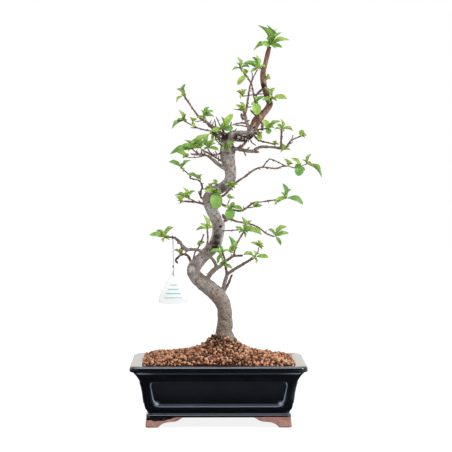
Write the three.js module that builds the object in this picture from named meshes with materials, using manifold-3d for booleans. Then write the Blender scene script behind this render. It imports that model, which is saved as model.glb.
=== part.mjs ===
// A Chinese quince bonsai in a glazed rectangular pot. Millimetres, +Z up, front of the pot towards -Y.
import * as THREE from "three";
import { mergeVertices } from "three/addons/utils/BufferGeometryUtils.js";
import Module from "manifold-3d";

const wasm = await Module();
wasm.setup();

// Driving dimensions of the pot.
const RIM_LENGTH = 280;
const RIM_WIDTH = 205;
const POT_HEIGHT = 100;
const FOOT_HEIGHT = 17;
const FLOOR_TOP = 26;
const RIM_BAND = 17.5;
const RIM_CORNER = 16;
const CORNER_STEPS = 3;
const CORNER_TIGHTENING = 0.35;
const LEAST_CORNER = 5;
const BEAD_WIDTH = 5.5;
const BEAD_HEIGHT = 1.4;
const BEAD_TOP = 75;
const BEAD_BOTTOM = 36;
const BEAD_TOP_INSET = 30;
const BEAD_BOTTOM_INSET = 37.5;
const BEAD_OUTER_CORNER = 11;
const BEAD_INNER_CORNER = 7;
const FOOT_LENGTH = 64;
const SHORT_FOOT_SHARE = 0.74;
const FOOT_TOE = 22;
const FOOT_PLATE = 10;
const FOOT_SPREAD = 3;
const FOOT_SEAT = 1;
const DRAIN_RADIUS = 10;
const DRAIN_SPACING = 110;
const DRAIN_SIDES = 20;

// Driving dimensions of what the pot holds.
const GAP = 0.3;
const SCREEN_SIZE = 34;
const SCREEN_THICKNESS = 1.2;
const SCREEN_BARS = 3;
const SCREEN_BAR = 5;
const SOIL_EDGE = 97.5;
const SOIL_DOME = 10;
const SOIL_DOME_REACH = 8;
const SOIL_CONE = 42;
const SOIL_CONE_REACH = 32;
const SOIL_CONE_TOP = 12;
const SOIL_LEAN = 0.012;
const GRANULE_PITCH = 10;
const GRANULE_RELIEF = 1.8;
const GRANULE_JITTER = 1;
const GRANULE_SHIFT = 1.5;
const GRANULE_SEED = 11;

// Driving dimensions of the wood, leaves, label and string.
const TRUNK_SIDES = 10;
const LEADER_SIDES = 8;
const THICK_FOOT = 3;
const MIDDLING_FOOT = 1.7;
const HUB_RADIUS = 3.2;
const APEX_HUB_RADIUS = 5.2;
const BUD_LENGTH = 10.5;
const BLADE_ROOT = 0.55;
const BLADE_THICKNESS = 1.1;
const BLADE_TOP_SHARE = 0.25;
const BLADE_SHARE = 0.5;
const BLADE_FOLD = 0.3;
const BLADE_ARCH = 0.09;
const BLADE_WAVE = 0.5;
const LEAST_HALF_BLADE = 1.6;
const STALK_HALF_WIDTH = 0.7;
const TAG_TOP = [-73, -33, 245];
const TAG_WIDTH = 49;
const TAG_HEIGHT = 51;
const TAG_THICKNESS = 1.2;
const TAG_CORNER = 9;
const TAG_BASE_ROUNDING = 0.62;
const TAG_PEAK_ROUNDING = 0.95;
const TAG_HOLE_RADIUS = 2.2;
const TAG_HOLE_DROP = 5.5;
const STRING_DIAMETER = 1;
const STRING_SIDES = 8;
const STRING_STEP = 4;

// Half the pot's outline at a given inset from the rim's outer edge.
const halfLength = (inset) => RIM_LENGTH / 2 - inset;
const halfWidth = (inset) => RIM_WIDTH / 2 - inset;

// The bowl's outside from its underside to the rim, then its inside, each as [inset, height].
const BOWL_OUTSIDE = [
  [25.5, FOOT_HEIGHT],
  [24.8, 20.5],
  [27.4, 23],
  [23, 29.5],
  [21.4, 34.5],
  [20.2, 44],
  [19.2, 54],
  [17.4, 64],
  [14.6, 73.5],
  [12.2, 78],
  [9.8, 82],
  [6.3, 86.8],
  [4, 89.5],
  [1.2, 91.4],
  [0, 93],
  [0, POT_HEIGHT - 1.4],
  [1.4, POT_HEIGHT],
];
const BOWL_INSIDE = [
  [40, FLOOR_TOP],
  [33, 33],
  [26.5, 44.5],
  [21, 70],
  [RIM_BAND + 1, 92],
  [RIM_BAND, POT_HEIGHT - 1],
  [RIM_BAND, POT_HEIGHT + 1],
];

// Random numbers that come out the same on every run.
function seeded(seed) {
  let state = seed;
  return () => {
    state = (state * 1664525 + 1013904223) % 4294967296;
    return state / 4294967296;
  };
}

// A closed triangle mesh as a solid that can be joined and cut.
function toSolid(geometry) {
  const bare = geometry.clone();
  bare.deleteAttribute("normal");
  bare.deleteAttribute("uv");
  const merged = mergeVertices(bare, 1e-4);
  const vertProperties = new Float32Array(merged.getAttribute("position").array);
  const triVerts = new Uint32Array(merged.index.array);
  return new wasm.Manifold(new wasm.Mesh({ numProp: 3, vertProperties, triVerts }));
}

// A solid as a named mesh with its own material.
function toMesh(name, solid, colour, roughness, metalness = 0) {
  const { vertProperties, triVerts } = solid.getMesh();
  const geometry = new THREE.BufferGeometry();
  geometry.setAttribute("position", new THREE.BufferAttribute(vertProperties, 3));
  geometry.setIndex(new THREE.BufferAttribute(triVerts, 1));
  const flat = geometry.toNonIndexed();
  flat.computeVertexNormals();
  const material = new THREE.MeshStandardMaterial({ color: colour, roughness, metalness });
  const mesh = new THREE.Mesh(flat, material);
  mesh.name = name;
  return mesh;
}

const join = (solids) => solids.reduce((whole, next) => whole.add(next));
const largest = (solid) => solid.decompose().sort((a, b) => b.volume() - a.volume())[0];
const point = ([x, y, z]) => new THREE.Vector3(x, y, z);
const middle = (ring) => ring.reduce((sum, p) => sum.add(p), new THREE.Vector3()).divideScalar(ring.length);

// A closed skin over rings of points. Each ring runs anticlockwise about the way from start to end.
function loft(rings, start = middle(rings[0]), end = middle(rings.at(-1))) {
  const sides = rings[0].length;
  const points = [...rings.flat(), start, end];
  const startIndex = points.length - 2;
  const endIndex = points.length - 1;
  const lastRing = (rings.length - 1) * sides;
  const faces = [];
  for (let k = 0; k < sides; k++) {
    const next = (k + 1) % sides;
    faces.push(startIndex, next, k);
    for (let i = 0; i < lastRing; i += sides) {
      faces.push(i + k, i + next, i + sides + next);
      faces.push(i + k, i + sides + next, i + sides + k);
    }
    faces.push(endIndex, lastRing + k, lastRing + next);
  }
  const geometry = new THREE.BufferGeometry().setFromPoints(points);
  geometry.setIndex(faces);
  return geometry;
}

// A level rectangle with round corners, as a ring of points.
function roundedRing(length, width, radius, z) {
  const ring = [];
  for (let corner = 0; corner < 4; corner++) {
    const sideX = corner === 0 || corner === 3 ? 1 : -1;
    const sideY = corner < 2 ? 1 : -1;
    for (let i = 0; i <= CORNER_STEPS; i++) {
      const angle = ((corner + i / CORNER_STEPS) * Math.PI) / 2;
      const x = sideX * (length - radius) + radius * Math.cos(angle);
      const y = sideY * (width - radius) + radius * Math.sin(angle);
      ring.push(new THREE.Vector3(x, y, z));
    }
  }
  return ring;
}

// A solid from a profile of [inset, height] pairs, each grown outwards by the same amount.
function potSolid(profile, growth = 0) {
  const rings = profile.map(([inset, z]) => {
    const reach = inset - growth;
    const radius = Math.max(RIM_CORNER - CORNER_TIGHTENING * reach, LEAST_CORNER);
    return roundedRing(halfLength(reach), halfWidth(reach), radius, z);
  });
  return toSolid(loft(rings));
}

// An outline through straight-sided corners, each rounded by one curve.
function roundedOutline(Kind, corners, radius) {
  const outline = new Kind();
  corners.forEach((corner, i) => {
    const before = corners.at(i - 1);
    const after = corners[(i + 1) % corners.length];
    const entry = corner.clone().add(before.clone().sub(corner).setLength(radius));
    const exit = corner.clone().add(after.clone().sub(corner).setLength(radius));
    if (i === 0) outline.moveTo(entry.x, entry.y);
    else outline.lineTo(entry.x, entry.y);
    outline.quadraticCurveTo(corner.x, corner.y, exit.x, exit.y);
  });
  outline.closePath();
  return outline;
}

// The raised bead round a wall's sunk panel, as a bar that runs right through the pot.
function beadBar(halfTop, halfBottom, reach) {
  const frame = (grow) => [
    new THREE.Vector2(-halfBottom - grow, BEAD_BOTTOM - grow),
    new THREE.Vector2(halfBottom + grow, BEAD_BOTTOM - grow),
    new THREE.Vector2(halfTop + grow, BEAD_TOP + grow),
    new THREE.Vector2(-halfTop - grow, BEAD_TOP + grow),
  ];
  const shape = roundedOutline(THREE.Shape, frame(BEAD_WIDTH / 2), BEAD_OUTER_CORNER);
  shape.holes.push(roundedOutline(THREE.Path, frame(-BEAD_WIDTH / 2), BEAD_INNER_CORNER));
  const bar = new THREE.ExtrudeGeometry(shape, { depth: 2 * reach, bevelEnabled: false, curveSegments: 2 });
  return bar.rotateX(Math.PI / 2).translate(0, reach, 0);
}

// The inner edge of a foot from its toe up: two hollow curves that meet in a cusp, as [past the toe, height].
const FOOT_SCALLOP = [[5, 8], [18, 9], [28, 9], [34, 14]];

// One plate of a bracket foot: an upright outer end, a flat toe and a scalloped inner edge.
function footPlate(half, length, side) {
  const scale = length / FOOT_LENGTH;
  const outer = half + FOOT_SPREAD;
  const along = (distance) => side * (outer - distance * scale);
  const plate = new THREE.Shape();
  const [hook, cusp, bow, end] = FOOT_SCALLOP.map(([past, z]) => [along(FOOT_TOE + past), z]);
  plate.moveTo(side * half, FOOT_HEIGHT + FOOT_SEAT);
  plate.lineTo(side * outer, 0);
  plate.lineTo(along(FOOT_TOE), 0);
  plate.quadraticCurveTo(...hook, ...cusp);
  plate.quadraticCurveTo(...bow, ...end);
  plate.lineTo(along(FOOT_LENGTH), FOOT_HEIGHT + FOOT_SEAT);
  return new THREE.ExtrudeGeometry(plate, { depth: FOOT_PLATE, bevelEnabled: false, curveSegments: 3 });
}

function makePot() {
  const baseInset = BOWL_OUTSIDE[0][0];
  const baseLength = halfLength(baseInset);
  const baseWidth = halfWidth(baseInset);
  const longBead = beadBar(halfLength(BEAD_TOP_INSET), halfLength(BEAD_BOTTOM_INSET), RIM_WIDTH);
  const shortBead = beadBar(halfWidth(BEAD_TOP_INSET), halfWidth(BEAD_BOTTOM_INSET), RIM_LENGTH);
  const crossed = toSolid(longBead).add(toSolid(shortBead.rotateZ(Math.PI / 2)));
  const beads = crossed.intersect(potSolid(BOWL_OUTSIDE, BEAD_HEIGHT));
  const feet = [];
  for (const side of [-1, 1]) {
    for (const end of [-1, 1]) {
      const longPlate = footPlate(baseLength - FOOT_SEAT, FOOT_LENGTH, side).rotateX(Math.PI / 2);
      const outerY = end > 0 ? baseWidth + FOOT_SEAT : FOOT_PLATE - baseWidth - FOOT_SEAT;
      feet.push(toSolid(longPlate.translate(0, outerY, 0)));
      const shortLength = SHORT_FOOT_SHARE * FOOT_LENGTH;
      const shortPlate = footPlate(baseWidth - FOOT_SEAT, shortLength, side).rotateX(Math.PI / 2);
      const outerX = end > 0 ? FOOT_PLATE - baseLength - FOOT_SEAT : baseLength + FOOT_SEAT;
      feet.push(toSolid(shortPlate.translate(0, outerX, 0).rotateZ(Math.PI / 2)));
    }
  }
  const drains = [-1, 1].map((side) => {
    const drill = new THREE.CylinderGeometry(DRAIN_RADIUS, DRAIN_RADIUS, FLOOR_TOP, DRAIN_SIDES);
    return toSolid(drill.rotateX(Math.PI / 2).translate((side * DRAIN_SPACING) / 2, 0, FLOOR_TOP));
  });
  const body = join([potSolid(BOWL_OUTSIDE), beads, ...feet]);
  return body.subtract(potSolid(BOWL_INSIDE)).subtract(join(drains));
}

// A plastic screen over one drainage hole: crossed bars, flat on the pot's floor.
function makeScreen(x) {
  const pitch = (SCREEN_SIZE - SCREEN_BAR) / (SCREEN_BARS - 1);
  const bars = [];
  for (let i = 0; i < SCREEN_BARS; i++) {
    const offset = i * pitch - (SCREEN_SIZE - SCREEN_BAR) / 2;
    const along = new THREE.BoxGeometry(SCREEN_SIZE, SCREEN_BAR, SCREEN_THICKNESS);
    const across = new THREE.BoxGeometry(SCREEN_BAR, SCREEN_SIZE, SCREEN_THICKNESS);
    bars.push(toSolid(along.translate(0, offset, 0)));
    bars.push(toSolid(across.translate(offset, 0, 0)));
  }
  return join(bars).translate([x, 0, FLOOR_TOP + GAP + SCREEN_THICKNESS / 2]);
}

// A branch tapers from its foot to its tip along a path. Heights are above the surface the pot stands on.
const branch = (foot, tip, ...path) => ({ foot, tip, path });

// The trunk, as [x, y, z, radius], with its turns from the roots up to the gnarled knot.
const TRUNK = [
  [10, 2, 99, 9], [10, 1, 116, 15], [11, 0, 129, 20], [10.5, 0, 137, 16.8], [8.5, 0, 145, 13.4],
  [11, -1, 157, 13], [11, -2, 168, 12], [10, -3, 183, 12], [6, -5, 196, 12.5], [-2, -6, 207, 13],
  [-13, -6, 217, 12.5], [-26, -5, 227, 12], [-36, -3, 236, 11.5], [-41, 0, 246, 11], [-37, 3, 255, 10.5],
  [-30, 5, 263, 10], [-22, 7, 271, 10], [-13, 8, 280, 10], [-6, 8, 288, 10], [-2, 7, 299, 10],
  [0, 6, 310, 10], [0, 4, 320, 10.5], [-3, 1, 329, 9.5], [-8, -3, 340, 9.5], [-14, -5, 351, 9],
  [-17, -6, 361, 9], [-14, -5, 369, 9], [-6, -1, 376, 9], [5, 3, 381, 9], [15, 6, 388, 9],
  [20, 7, 398, 9], [20, 6, 410, 9.8], [17, 4, 423, 11.2], [15, 2, 434, 12.3], [15, 0, 445, 12],
  [14, -1, 456, 10], [14, -2, 464, 9], [15, -3, 471, 6],
];

// The thick level stretch right of the knot and the leader that rises from it, as [x, y, z, radius].
const LEADER = [
  [14, -2, 462, 7.5], [23, -4, 469, 7.5], [34, -6, 469, 7], [45, -6, 469, 6.5], [53, -3, 473, 6.5],
  [58, 1, 481, 7], [63, 4, 491, 7.5], [71, 6, 500, 6], [79, 7, 509, 5.5], [84, 6, 518, 5],
  [81, 4, 527, 5], [78, 2, 537, 5], [75, 1, 547, 4.5], [73, 1, 559, 5], [73, 1, 570, 4.5],
  [76, 3, 581, 4], [79, 4, 593, 4], [82, 6, 605, 3.5], [84, 6, 612, 3],
];

const ROOTS = [
  branch(8, 2, [10, 0, 124], [30, 8, 117], [48, 14, 104], [62, 18, 84]),
  branch(7, 2, [10, 0, 122], [16, 22, 116], [22, 40, 102], [24, 54, 82]),
  branch(7, 2, [10, 0, 124], [-10, 12, 116], [-30, 22, 102], [-46, 28, 80]),
  branch(8, 2, [10, 0, 124], [-12, -6, 117], [-32, -12, 103], [-50, -16, 84]),
  branch(7, 2, [10, 0, 122], [4, -22, 115], [0, -40, 101], [-4, -54, 82]),
  branch(7, 2, [10, 0, 122], [28, -16, 115], [44, -28, 101], [56, -36, 82]),
];

const BRANCHES = {
  lowFork: branch(3.4, 2.8, [7, -5, 208], [10, -8, 225], [13, -12, 236], [15, -14, 243]),
  lowRight: branch(
    2.8, 2.1, [15, -14, 242], [22, -20, 247], [31, -27, 253], [42, -33, 260], [57, -42, 270],
  ),
  lowRightRise: branch(1, 0.8, [55, -41, 269], [63, -42, 278], [65, -41, 286]),
  lowUp: branch(2.2, 1.4, [14, -13, 242], [12, -9, 253], [11, -5, 262], [8, -2, 274]),
  lowStub: branch(2.2, 1.5, [10, -3, 213], [17, -4, 226], [20, -5, 234], [22, -5, 239]),
  innerBend: branch(
    4.4, 2.9, [-20, -8, 229], [-13, -15, 242], [-6, -20, 249], [3, -25, 255], [9, -29, 261],
  ),
  innerBendRight: branch(2.6, 1.8, [8, -28, 260], [17, -33, 267], [25, -37, 272], [38, -43, 273]),
  innerBendRise: branch(1.5, 1.2, [25, -37, 273], [27, -36, 284], [31, -34, 294], [41, -30, 311]),
  innerBendShoot: branch(0.9, 0.8, [22, -35, 270], [21, -35, 275]),
  longLeft: branch(
    2.9, 2.3, [-8, -18, 248], [-4, -21, 254], [-6, -23, 261], [-12, -24, 269], [-18, -25, 275],
    [-27, -26, 279], [-37, -27, 282], [-53, -29, 282],
  ),
  longLeftTip: branch(
    2.9, 1.4, [-51, -29, 282], [-58, -30, 288], [-62, -31, 294], [-67, -31, 299], [-74, -32, 302],
    [-86, -35, 302],
  ),
  uprightTwig: branch(1.7, 1.2, [-18, -25, 275], [-18, -26, 289], [-17, -26, 300], [-18, -26, 314]),
  leaningTwig: branch(1.2, 1, [-42, 4, 260], [-38, -4, 276], [-31, -11, 287], [-24, -20, 305]),
  leftCurl: branch(
    2.2, 1.5, [-41, 2, 253], [-47, 8, 265], [-50, 13, 270], [-55, 17, 272], [-61, 20, 271], [-66, 22, 267],
    [-70, 23, 262], [-67, 24, 258],
  ),
  rightNode: branch(
    2.2, 1.2, [2, 4, 322], [14, 9, 329], [21, 13, 330], [30, 18, 326], [50, 26, 322], [66, 31, 316],
    [79, 36, 306], [93, 40, 300],
  ),
  rightNodeStub: branch(2.8, 2.2, [14, 9, 328], [10, 5, 333], [8, 3, 337]),
  rightThin: branch(0.9, 0.8, [3, 3, 311], [17, -8, 312], [35, -24, 314]),
  middleRight: branch(
    2, 1.2, [-12, -8, 362], [4, -15, 356], [12, -19, 352], [25, -23, 346], [38, -27, 345], [51, -31, 354],
    [57, -33, 358], [67, -36, 359], [107, -46, 365],
  ),
  middleRightSpur: branch(0.9, 0.8, [44, -29, 349], [57, -33, 351]),
  middleRightShoot: branch(0.8, 0.7, [14, -20, 351], [16, -19, 357], [18, -18, 362]),
  longRight: branch(
    2.2, 1.1, [-10, -5, 368], [-2, -7, 367], [8, -8, 369], [16, -8, 376], [29, -5, 390], [44, 3, 400],
    [56, 11, 409], [64, 17, 413], [74, 23, 415], [96, 33, 413], [105, 37, 416], [116, 41, 417],
    [128, 45, 414], [146, 49, 420],
  ),
  longRightLoop: branch(1.1, 0.9, [74, 23, 415], [78, 23, 422], [82, 24, 426], [88, 27, 428], [112, 40, 417]),
  leftLow: branch(
    2.2, 1.2, [-18, -6, 354], [-34, -14, 358], [-42, -18, 359], [-58, -25, 360], [-62, -26, 357],
  ),
  leftLowFork: branch(1.1, 0.8, [-35, -15, 358], [-42, -19, 362], [-49, -21, 365]),
  leftHigh: branch(
    2.1, 1.1, [-19, -5, 361], [-28, 2, 366], [-28, 9, 377], [-26, 12, 382], [-30, 16, 392], [-37, 19, 395],
    [-46, 22, 397], [-47, 24, 402], [-60, 30, 413],
  ),
  leftHighStub: branch(1.4, 1, [-28, 2, 366], [-30, 3, 370], [-32, 4, 374]),
  leftHighSide: branch(0.9, 0.8, [-27, 11, 380], [-20, 11, 379], [-13, 11, 379]),
  shoulderLeft: branch(
    3.4, 1.5, [14, 3, 411], [1, -3, 419], [-7, -8, 426], [-14, -12, 431], [-22, -16, 435], [-43, -27, 436],
  ),
  shoulderLeftUpper: branch(1.8, 1.1, [12, 4, 422], [-1, 8, 429], [-16, 12, 438], [-28, 15, 445]),
  shoulderLeftThin: branch(0.9, 0.7, [-21, -16, 434], [-36, -22, 431], [-49, -26, 431]),
  shoulderLeftShoot: branch(1.2, 0.9, [-29, -20, 436], [-37, -25, 440], [-41, -28, 444]),
  collarLeft: branch(
    1.5, 0.9, [11, -3, 441], [-1, -10, 436], [-8, -14, 435], [-14, -17, 440], [-17, -19, 445],
  ),
  collarRight: branch(
    3.2, 1.3, [14, -4, 445], [28, -12, 445], [45, -21, 442], [55, -24, 441], [61, -26, 445], [70, -28, 448],
    [91, -32, 447], [101, -34, 445], [109, -36, 447], [117, -39, 458], [132, -43, 465],
  ),
  collarRightCut: branch(2.4, 1.9, [52, -23, 441], [64, -26, 440]),
  collarRightStub: branch(1, 0.8, [113, -37, 452], [119, -37, 455]),
  collarRightSpur: branch(0.9, 0.7, [117, -39, 458], [120, -38, 466]),
  collarRightRiser: branch(1.8, 1.4, [101, -34, 445], [101, -33, 457], [102, -31, 474]),
  bridgeStrut: branch(2, 1.6, [50, -6, 466], [44, -11, 455], [33, -15, 445]),
  bridgeThin: branch(0.9, 0.8, [50, -5, 468], [53, -13, 457], [60, -21, 451]),
  bridgeRight: branch(
    1.8, 1, [55, -4, 471], [63, -10, 461], [71, -15, 457], [80, -20, 455], [91, -26, 452],
  ),
  bridgeRightUpper: branch(1.4, 1, [53, -5, 474], [64, -13, 476], [80, -22, 478]),
  bridgeShoot: branch(1, 0.8, [55, -4, 472], [65, -12, 467]),
  crownLeft: branch(2, 1, [12, 1, 466], [0, 8, 473], [-16, 15, 475], [-35, 21, 480], [-56, 26, 491]),
  crownLeftThin: branch(0.8, 0.7, [-31, 20, 479], [-45, 24, 480]),
  crownLeftShoot: branch(0.9, 0.8, [-39, 22, 482], [-42, 20, 487]),
  crownRising: branch(
    3.2, 1.4, [9, -3, 467], [-7, -9, 479], [-23, -15, 491], [-32, -18, 497], [-55, -23, 530],
  ),
  crownRisingShoot: branch(1.1, 0.9, [-22, -15, 491], [-24, -16, 496]),
  crownRisingThin: branch(0.8, 0.7, [-24, -15, 491], [-36, -14, 489]),
  knotShoot: branch(1.4, 1.1, [11, -7, 468], [8, -12, 476]),
  knotThin: branch(0.8, 0.7, [9, -5, 469], [1, -8, 487], [-3, -10, 496]),
  knotLeft: branch(1, 0.8, [13, 0, 467], [-5, 3, 470]),
  collarShoot: branch(1.1, 0.9, [12, -8, 446], [11, -13, 447]),
  collarThin: branch(0.9, 0.7, [11, -7, 444], [2, -10, 453], [-4, -12, 460]),
  secondLeader: branch(3.4, 2.5, [51, -6, 469], [49, -11, 480], [45, -13, 491], [42, -14, 506]),
  secondLeaderArm: branch(1.6, 1, [47, -12, 486], [37, -13, 487], [24, -17, 484]),
  secondLeaderLowArm: branch(1, 0.8, [49, -10, 480], [37, -7, 483], [29, -6, 483]),
  secondLeaderStub: branch(1, 0.8, [44, -13, 496], [37, -12, 502]),
  secondLeaderThin: branch(0.8, 0.7, [42, -14, 505], [34, -15, 508], [26, -16, 509]),
  secondLeaderTop: branch(
    2.3, 1.2, [43, -14, 500], [46, -15, 513], [48, -15, 525], [52, -15, 549], [63, -15, 573],
  ),
  secondLeaderSpur: branch(0.9, 0.8, [46, -15, 512], [53, -15, 513]),
  crossingTwig: branch(
    2.1, 1.2, [65, 1, 498], [62, -3, 516], [58, -4, 530], [56, -5, 542], [53, -7, 552], [46, -8, 562],
    [36, -9, 575],
  ),
  crossingThin: branch(0.8, 0.7, [54, -6, 548], [55, -10, 560], [55, -11, 568]),
  crossingShoot: branch(1, 0.8, [61, -4, 520], [61, -8, 520]),
  leaderLink: branch(1.8, 1.5, [74, 0, 544], [65, -3, 536], [59, -4, 529]),
  leaderThin: branch(0.8, 0.7, [77, 1, 535], [59, -7, 533], [40, -14, 530]),
  leaderShoot: branch(1.4, 1.1, [81, 3, 527], [87, -2, 527]),
  leaderRightSpur: branch(0.9, 0.8, [75, 0, 558], [79, -2, 558]),
  leaderLeftStub: branch(1.4, 1, [74, 1, 572], [68, 0, 578], [67, 0, 582]),
  deadTwigFoot: branch(2.3, 1.6, [71, -17, 476], [72, -8, 485], [75, -7, 489]),
  deadTwig: branch(1.7, 1.3, [72, -9, 484], [65, -8, 494], [53, -8, 507]),
};

// A closed round limb through points, with a radius at each, grown by an even margin where asked.
function limb(points, radii, sides, margin = 0) {
  const path = new THREE.CatmullRomCurve3(points, false, "centripetal");
  const last = points.length - 1;
  const tangents = points.map((p, i) => path.getTangent(i / last));
  const normal = new THREE.Vector3(0, 1, 0).cross(tangents[0]);
  if (normal.length() < 0.2) normal.set(1, 0, 0).cross(tangents[0]);
  normal.normalize();
  const turn = new THREE.Quaternion();
  const rings = points.map((centre, i) => {
    if (i > 0) normal.applyQuaternion(turn.setFromUnitVectors(tangents[i - 1], tangents[i]));
    const binormal = tangents[i].clone().cross(normal);
    const shift = i === 0 ? -margin : i === last ? margin : 0;
    return Array.from({ length: sides }, (_, k) => {
      const angle = (2 * Math.PI * k) / sides;
      const reach = radii[i] + margin;
      return centre
        .clone()
        .addScaledVector(tangents[i], shift)
        .addScaledVector(normal, reach * Math.cos(angle))
        .addScaledVector(binormal, reach * Math.sin(angle));
    });
  });
  return toSolid(loft(rings));
}

// A thick limb from rows of [x, y, z, radius].
function thickLimb(rows, sides, margin) {
  return limb(rows.map(point), rows.map((row) => row[3]), sides, margin);
}

// A tapering branch, with fewer sides the thinner it is.
function taperedLimb({ foot, tip, path }, margin) {
  const points = path.map(point);
  const radii = points.map((p, i) => foot + ((tip - foot) * i) / (points.length - 1));
  const sides = foot > THICK_FOOT ? 6 : foot > MIDDLING_FOOT ? 4 : 3;
  return limb(points, radii, sides, margin);
}

// The part of the tree that stands in the soil: the trunk's lowest rows and the roots.
const FOOT_ROWS = 5;

function makeFoot(margin) {
  const roots = ROOTS.map((root) => taperedLimb(root, margin));
  return join([thickLimb(TRUNK.slice(0, FOOT_ROWS), TRUNK_SIDES, margin), ...roots]);
}

function makeWood(margin) {
  const twigs = Object.values(BRANCHES).map((twig) => taperedLimb(twig, margin));
  const roots = ROOTS.map((root) => taperedLimb(root, margin));
  const trunk = thickLimb(TRUNK, TRUNK_SIDES, margin);
  const leader = thickLimb(LEADER, LEADER_SIDES, margin);
  return join([trunk, leader, ...roots, ...twigs]);
}

// Height of the mounded soil: it climbs from the pot's edge to a dome and again towards the trunk, and
// lies a little lower on the right.
function soilHeight(x, y) {
  const inX = halfLength(RIM_BAND) - Math.abs(x);
  const inY = halfWidth(RIM_BAND) - Math.abs(y);
  const edge = inX > 0 && inY > 0 ? (inX * inY) / (inX + inY) : 0;
  const distance = Math.hypot(x - TRUNK[2][0], y - TRUNK[2][1]);
  const dome = SOIL_DOME * (1 - Math.exp(-edge / SOIL_DOME_REACH));
  const cone = SOIL_CONE * Math.exp(-Math.max(distance, SOIL_CONE_TOP) / SOIL_CONE_REACH);
  return SOIL_EDGE + dome + cone - SOIL_LEAN * x;
}

// The soil's granules, larger than life: a block whose top is a grid of points set high and low by turns.
function granuleBlock() {
  const random = seeded(GRANULE_SEED);
  const columns = Math.ceil(RIM_LENGTH / GRANULE_PITCH);
  const rows = Math.ceil(RIM_WIDTH / GRANULE_PITCH);
  const width = columns * GRANULE_PITCH;
  const depth = rows * GRANULE_PITCH;
  const block = new THREE.BoxGeometry(width, depth, POT_HEIGHT, columns, rows, 1);
  const places = block.getAttribute("position");
  const jitter = new Map();
  for (let i = 0; i < places.count; i++) {
    if (places.getZ(i) < 0) continue;
    const column = Math.round(places.getX(i) / GRANULE_PITCH + columns / 2);
    const row = Math.round(places.getY(i) / GRANULE_PITCH + rows / 2);
    const key = `${column} ${row}`;
    if (!jitter.has(key)) jitter.set(key, [2 * random() - 1, 2 * random() - 1, 2 * random() - 1]);
    const [shiftX, shiftY, shiftZ] = jitter.get(key);
    const inside = column > 0 && column < columns && row > 0 && row < rows;
    const x = places.getX(i) + (inside ? GRANULE_SHIFT * shiftX : 0);
    const y = places.getY(i) + (inside ? GRANULE_SHIFT * shiftY : 0);
    const lump = (column + row) % 2 === 0 ? GRANULE_RELIEF : -GRANULE_RELIEF;
    places.setXYZ(i, x, y, soilHeight(x, y) + lump + GRANULE_JITTER * shiftZ);
  }
  for (let i = 0; i < places.count; i++) {
    if (places.getZ(i) < 0) places.setZ(i, 0);
  }
  return toSolid(block);
}

function makeSoil() {
  const filled = BOWL_INSIDE.map(([inset, z], i) => [inset, i === 0 ? z + GAP : z]);
  filled[filled.length - 1][1] = 2 * POT_HEIGHT;
  const recesses = [-1, 1].map((side) => {
    const size = SCREEN_SIZE + 2 * GAP;
    const recess = new THREE.BoxGeometry(size, size, 2 * (SCREEN_THICKNESS + 2 * GAP));
    return toSolid(recess.translate((side * DRAIN_SPACING) / 2, 0, FLOOR_TOP));
  });
  const mound = potSolid(filled, -GAP).intersect(granuleBlock());
  return largest(mound.subtract(makeFoot(GAP)).subtract(join(recesses)));
}

// A spray is a hub on the wood and leaves from it. A leaf is its tip's place from the hub, then how far
// its face turns to the front, in degrees, and its width as a share of its length where that isn't usual.
const spray = (hub, ...leaves) => ({ hub, leaves });

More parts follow.
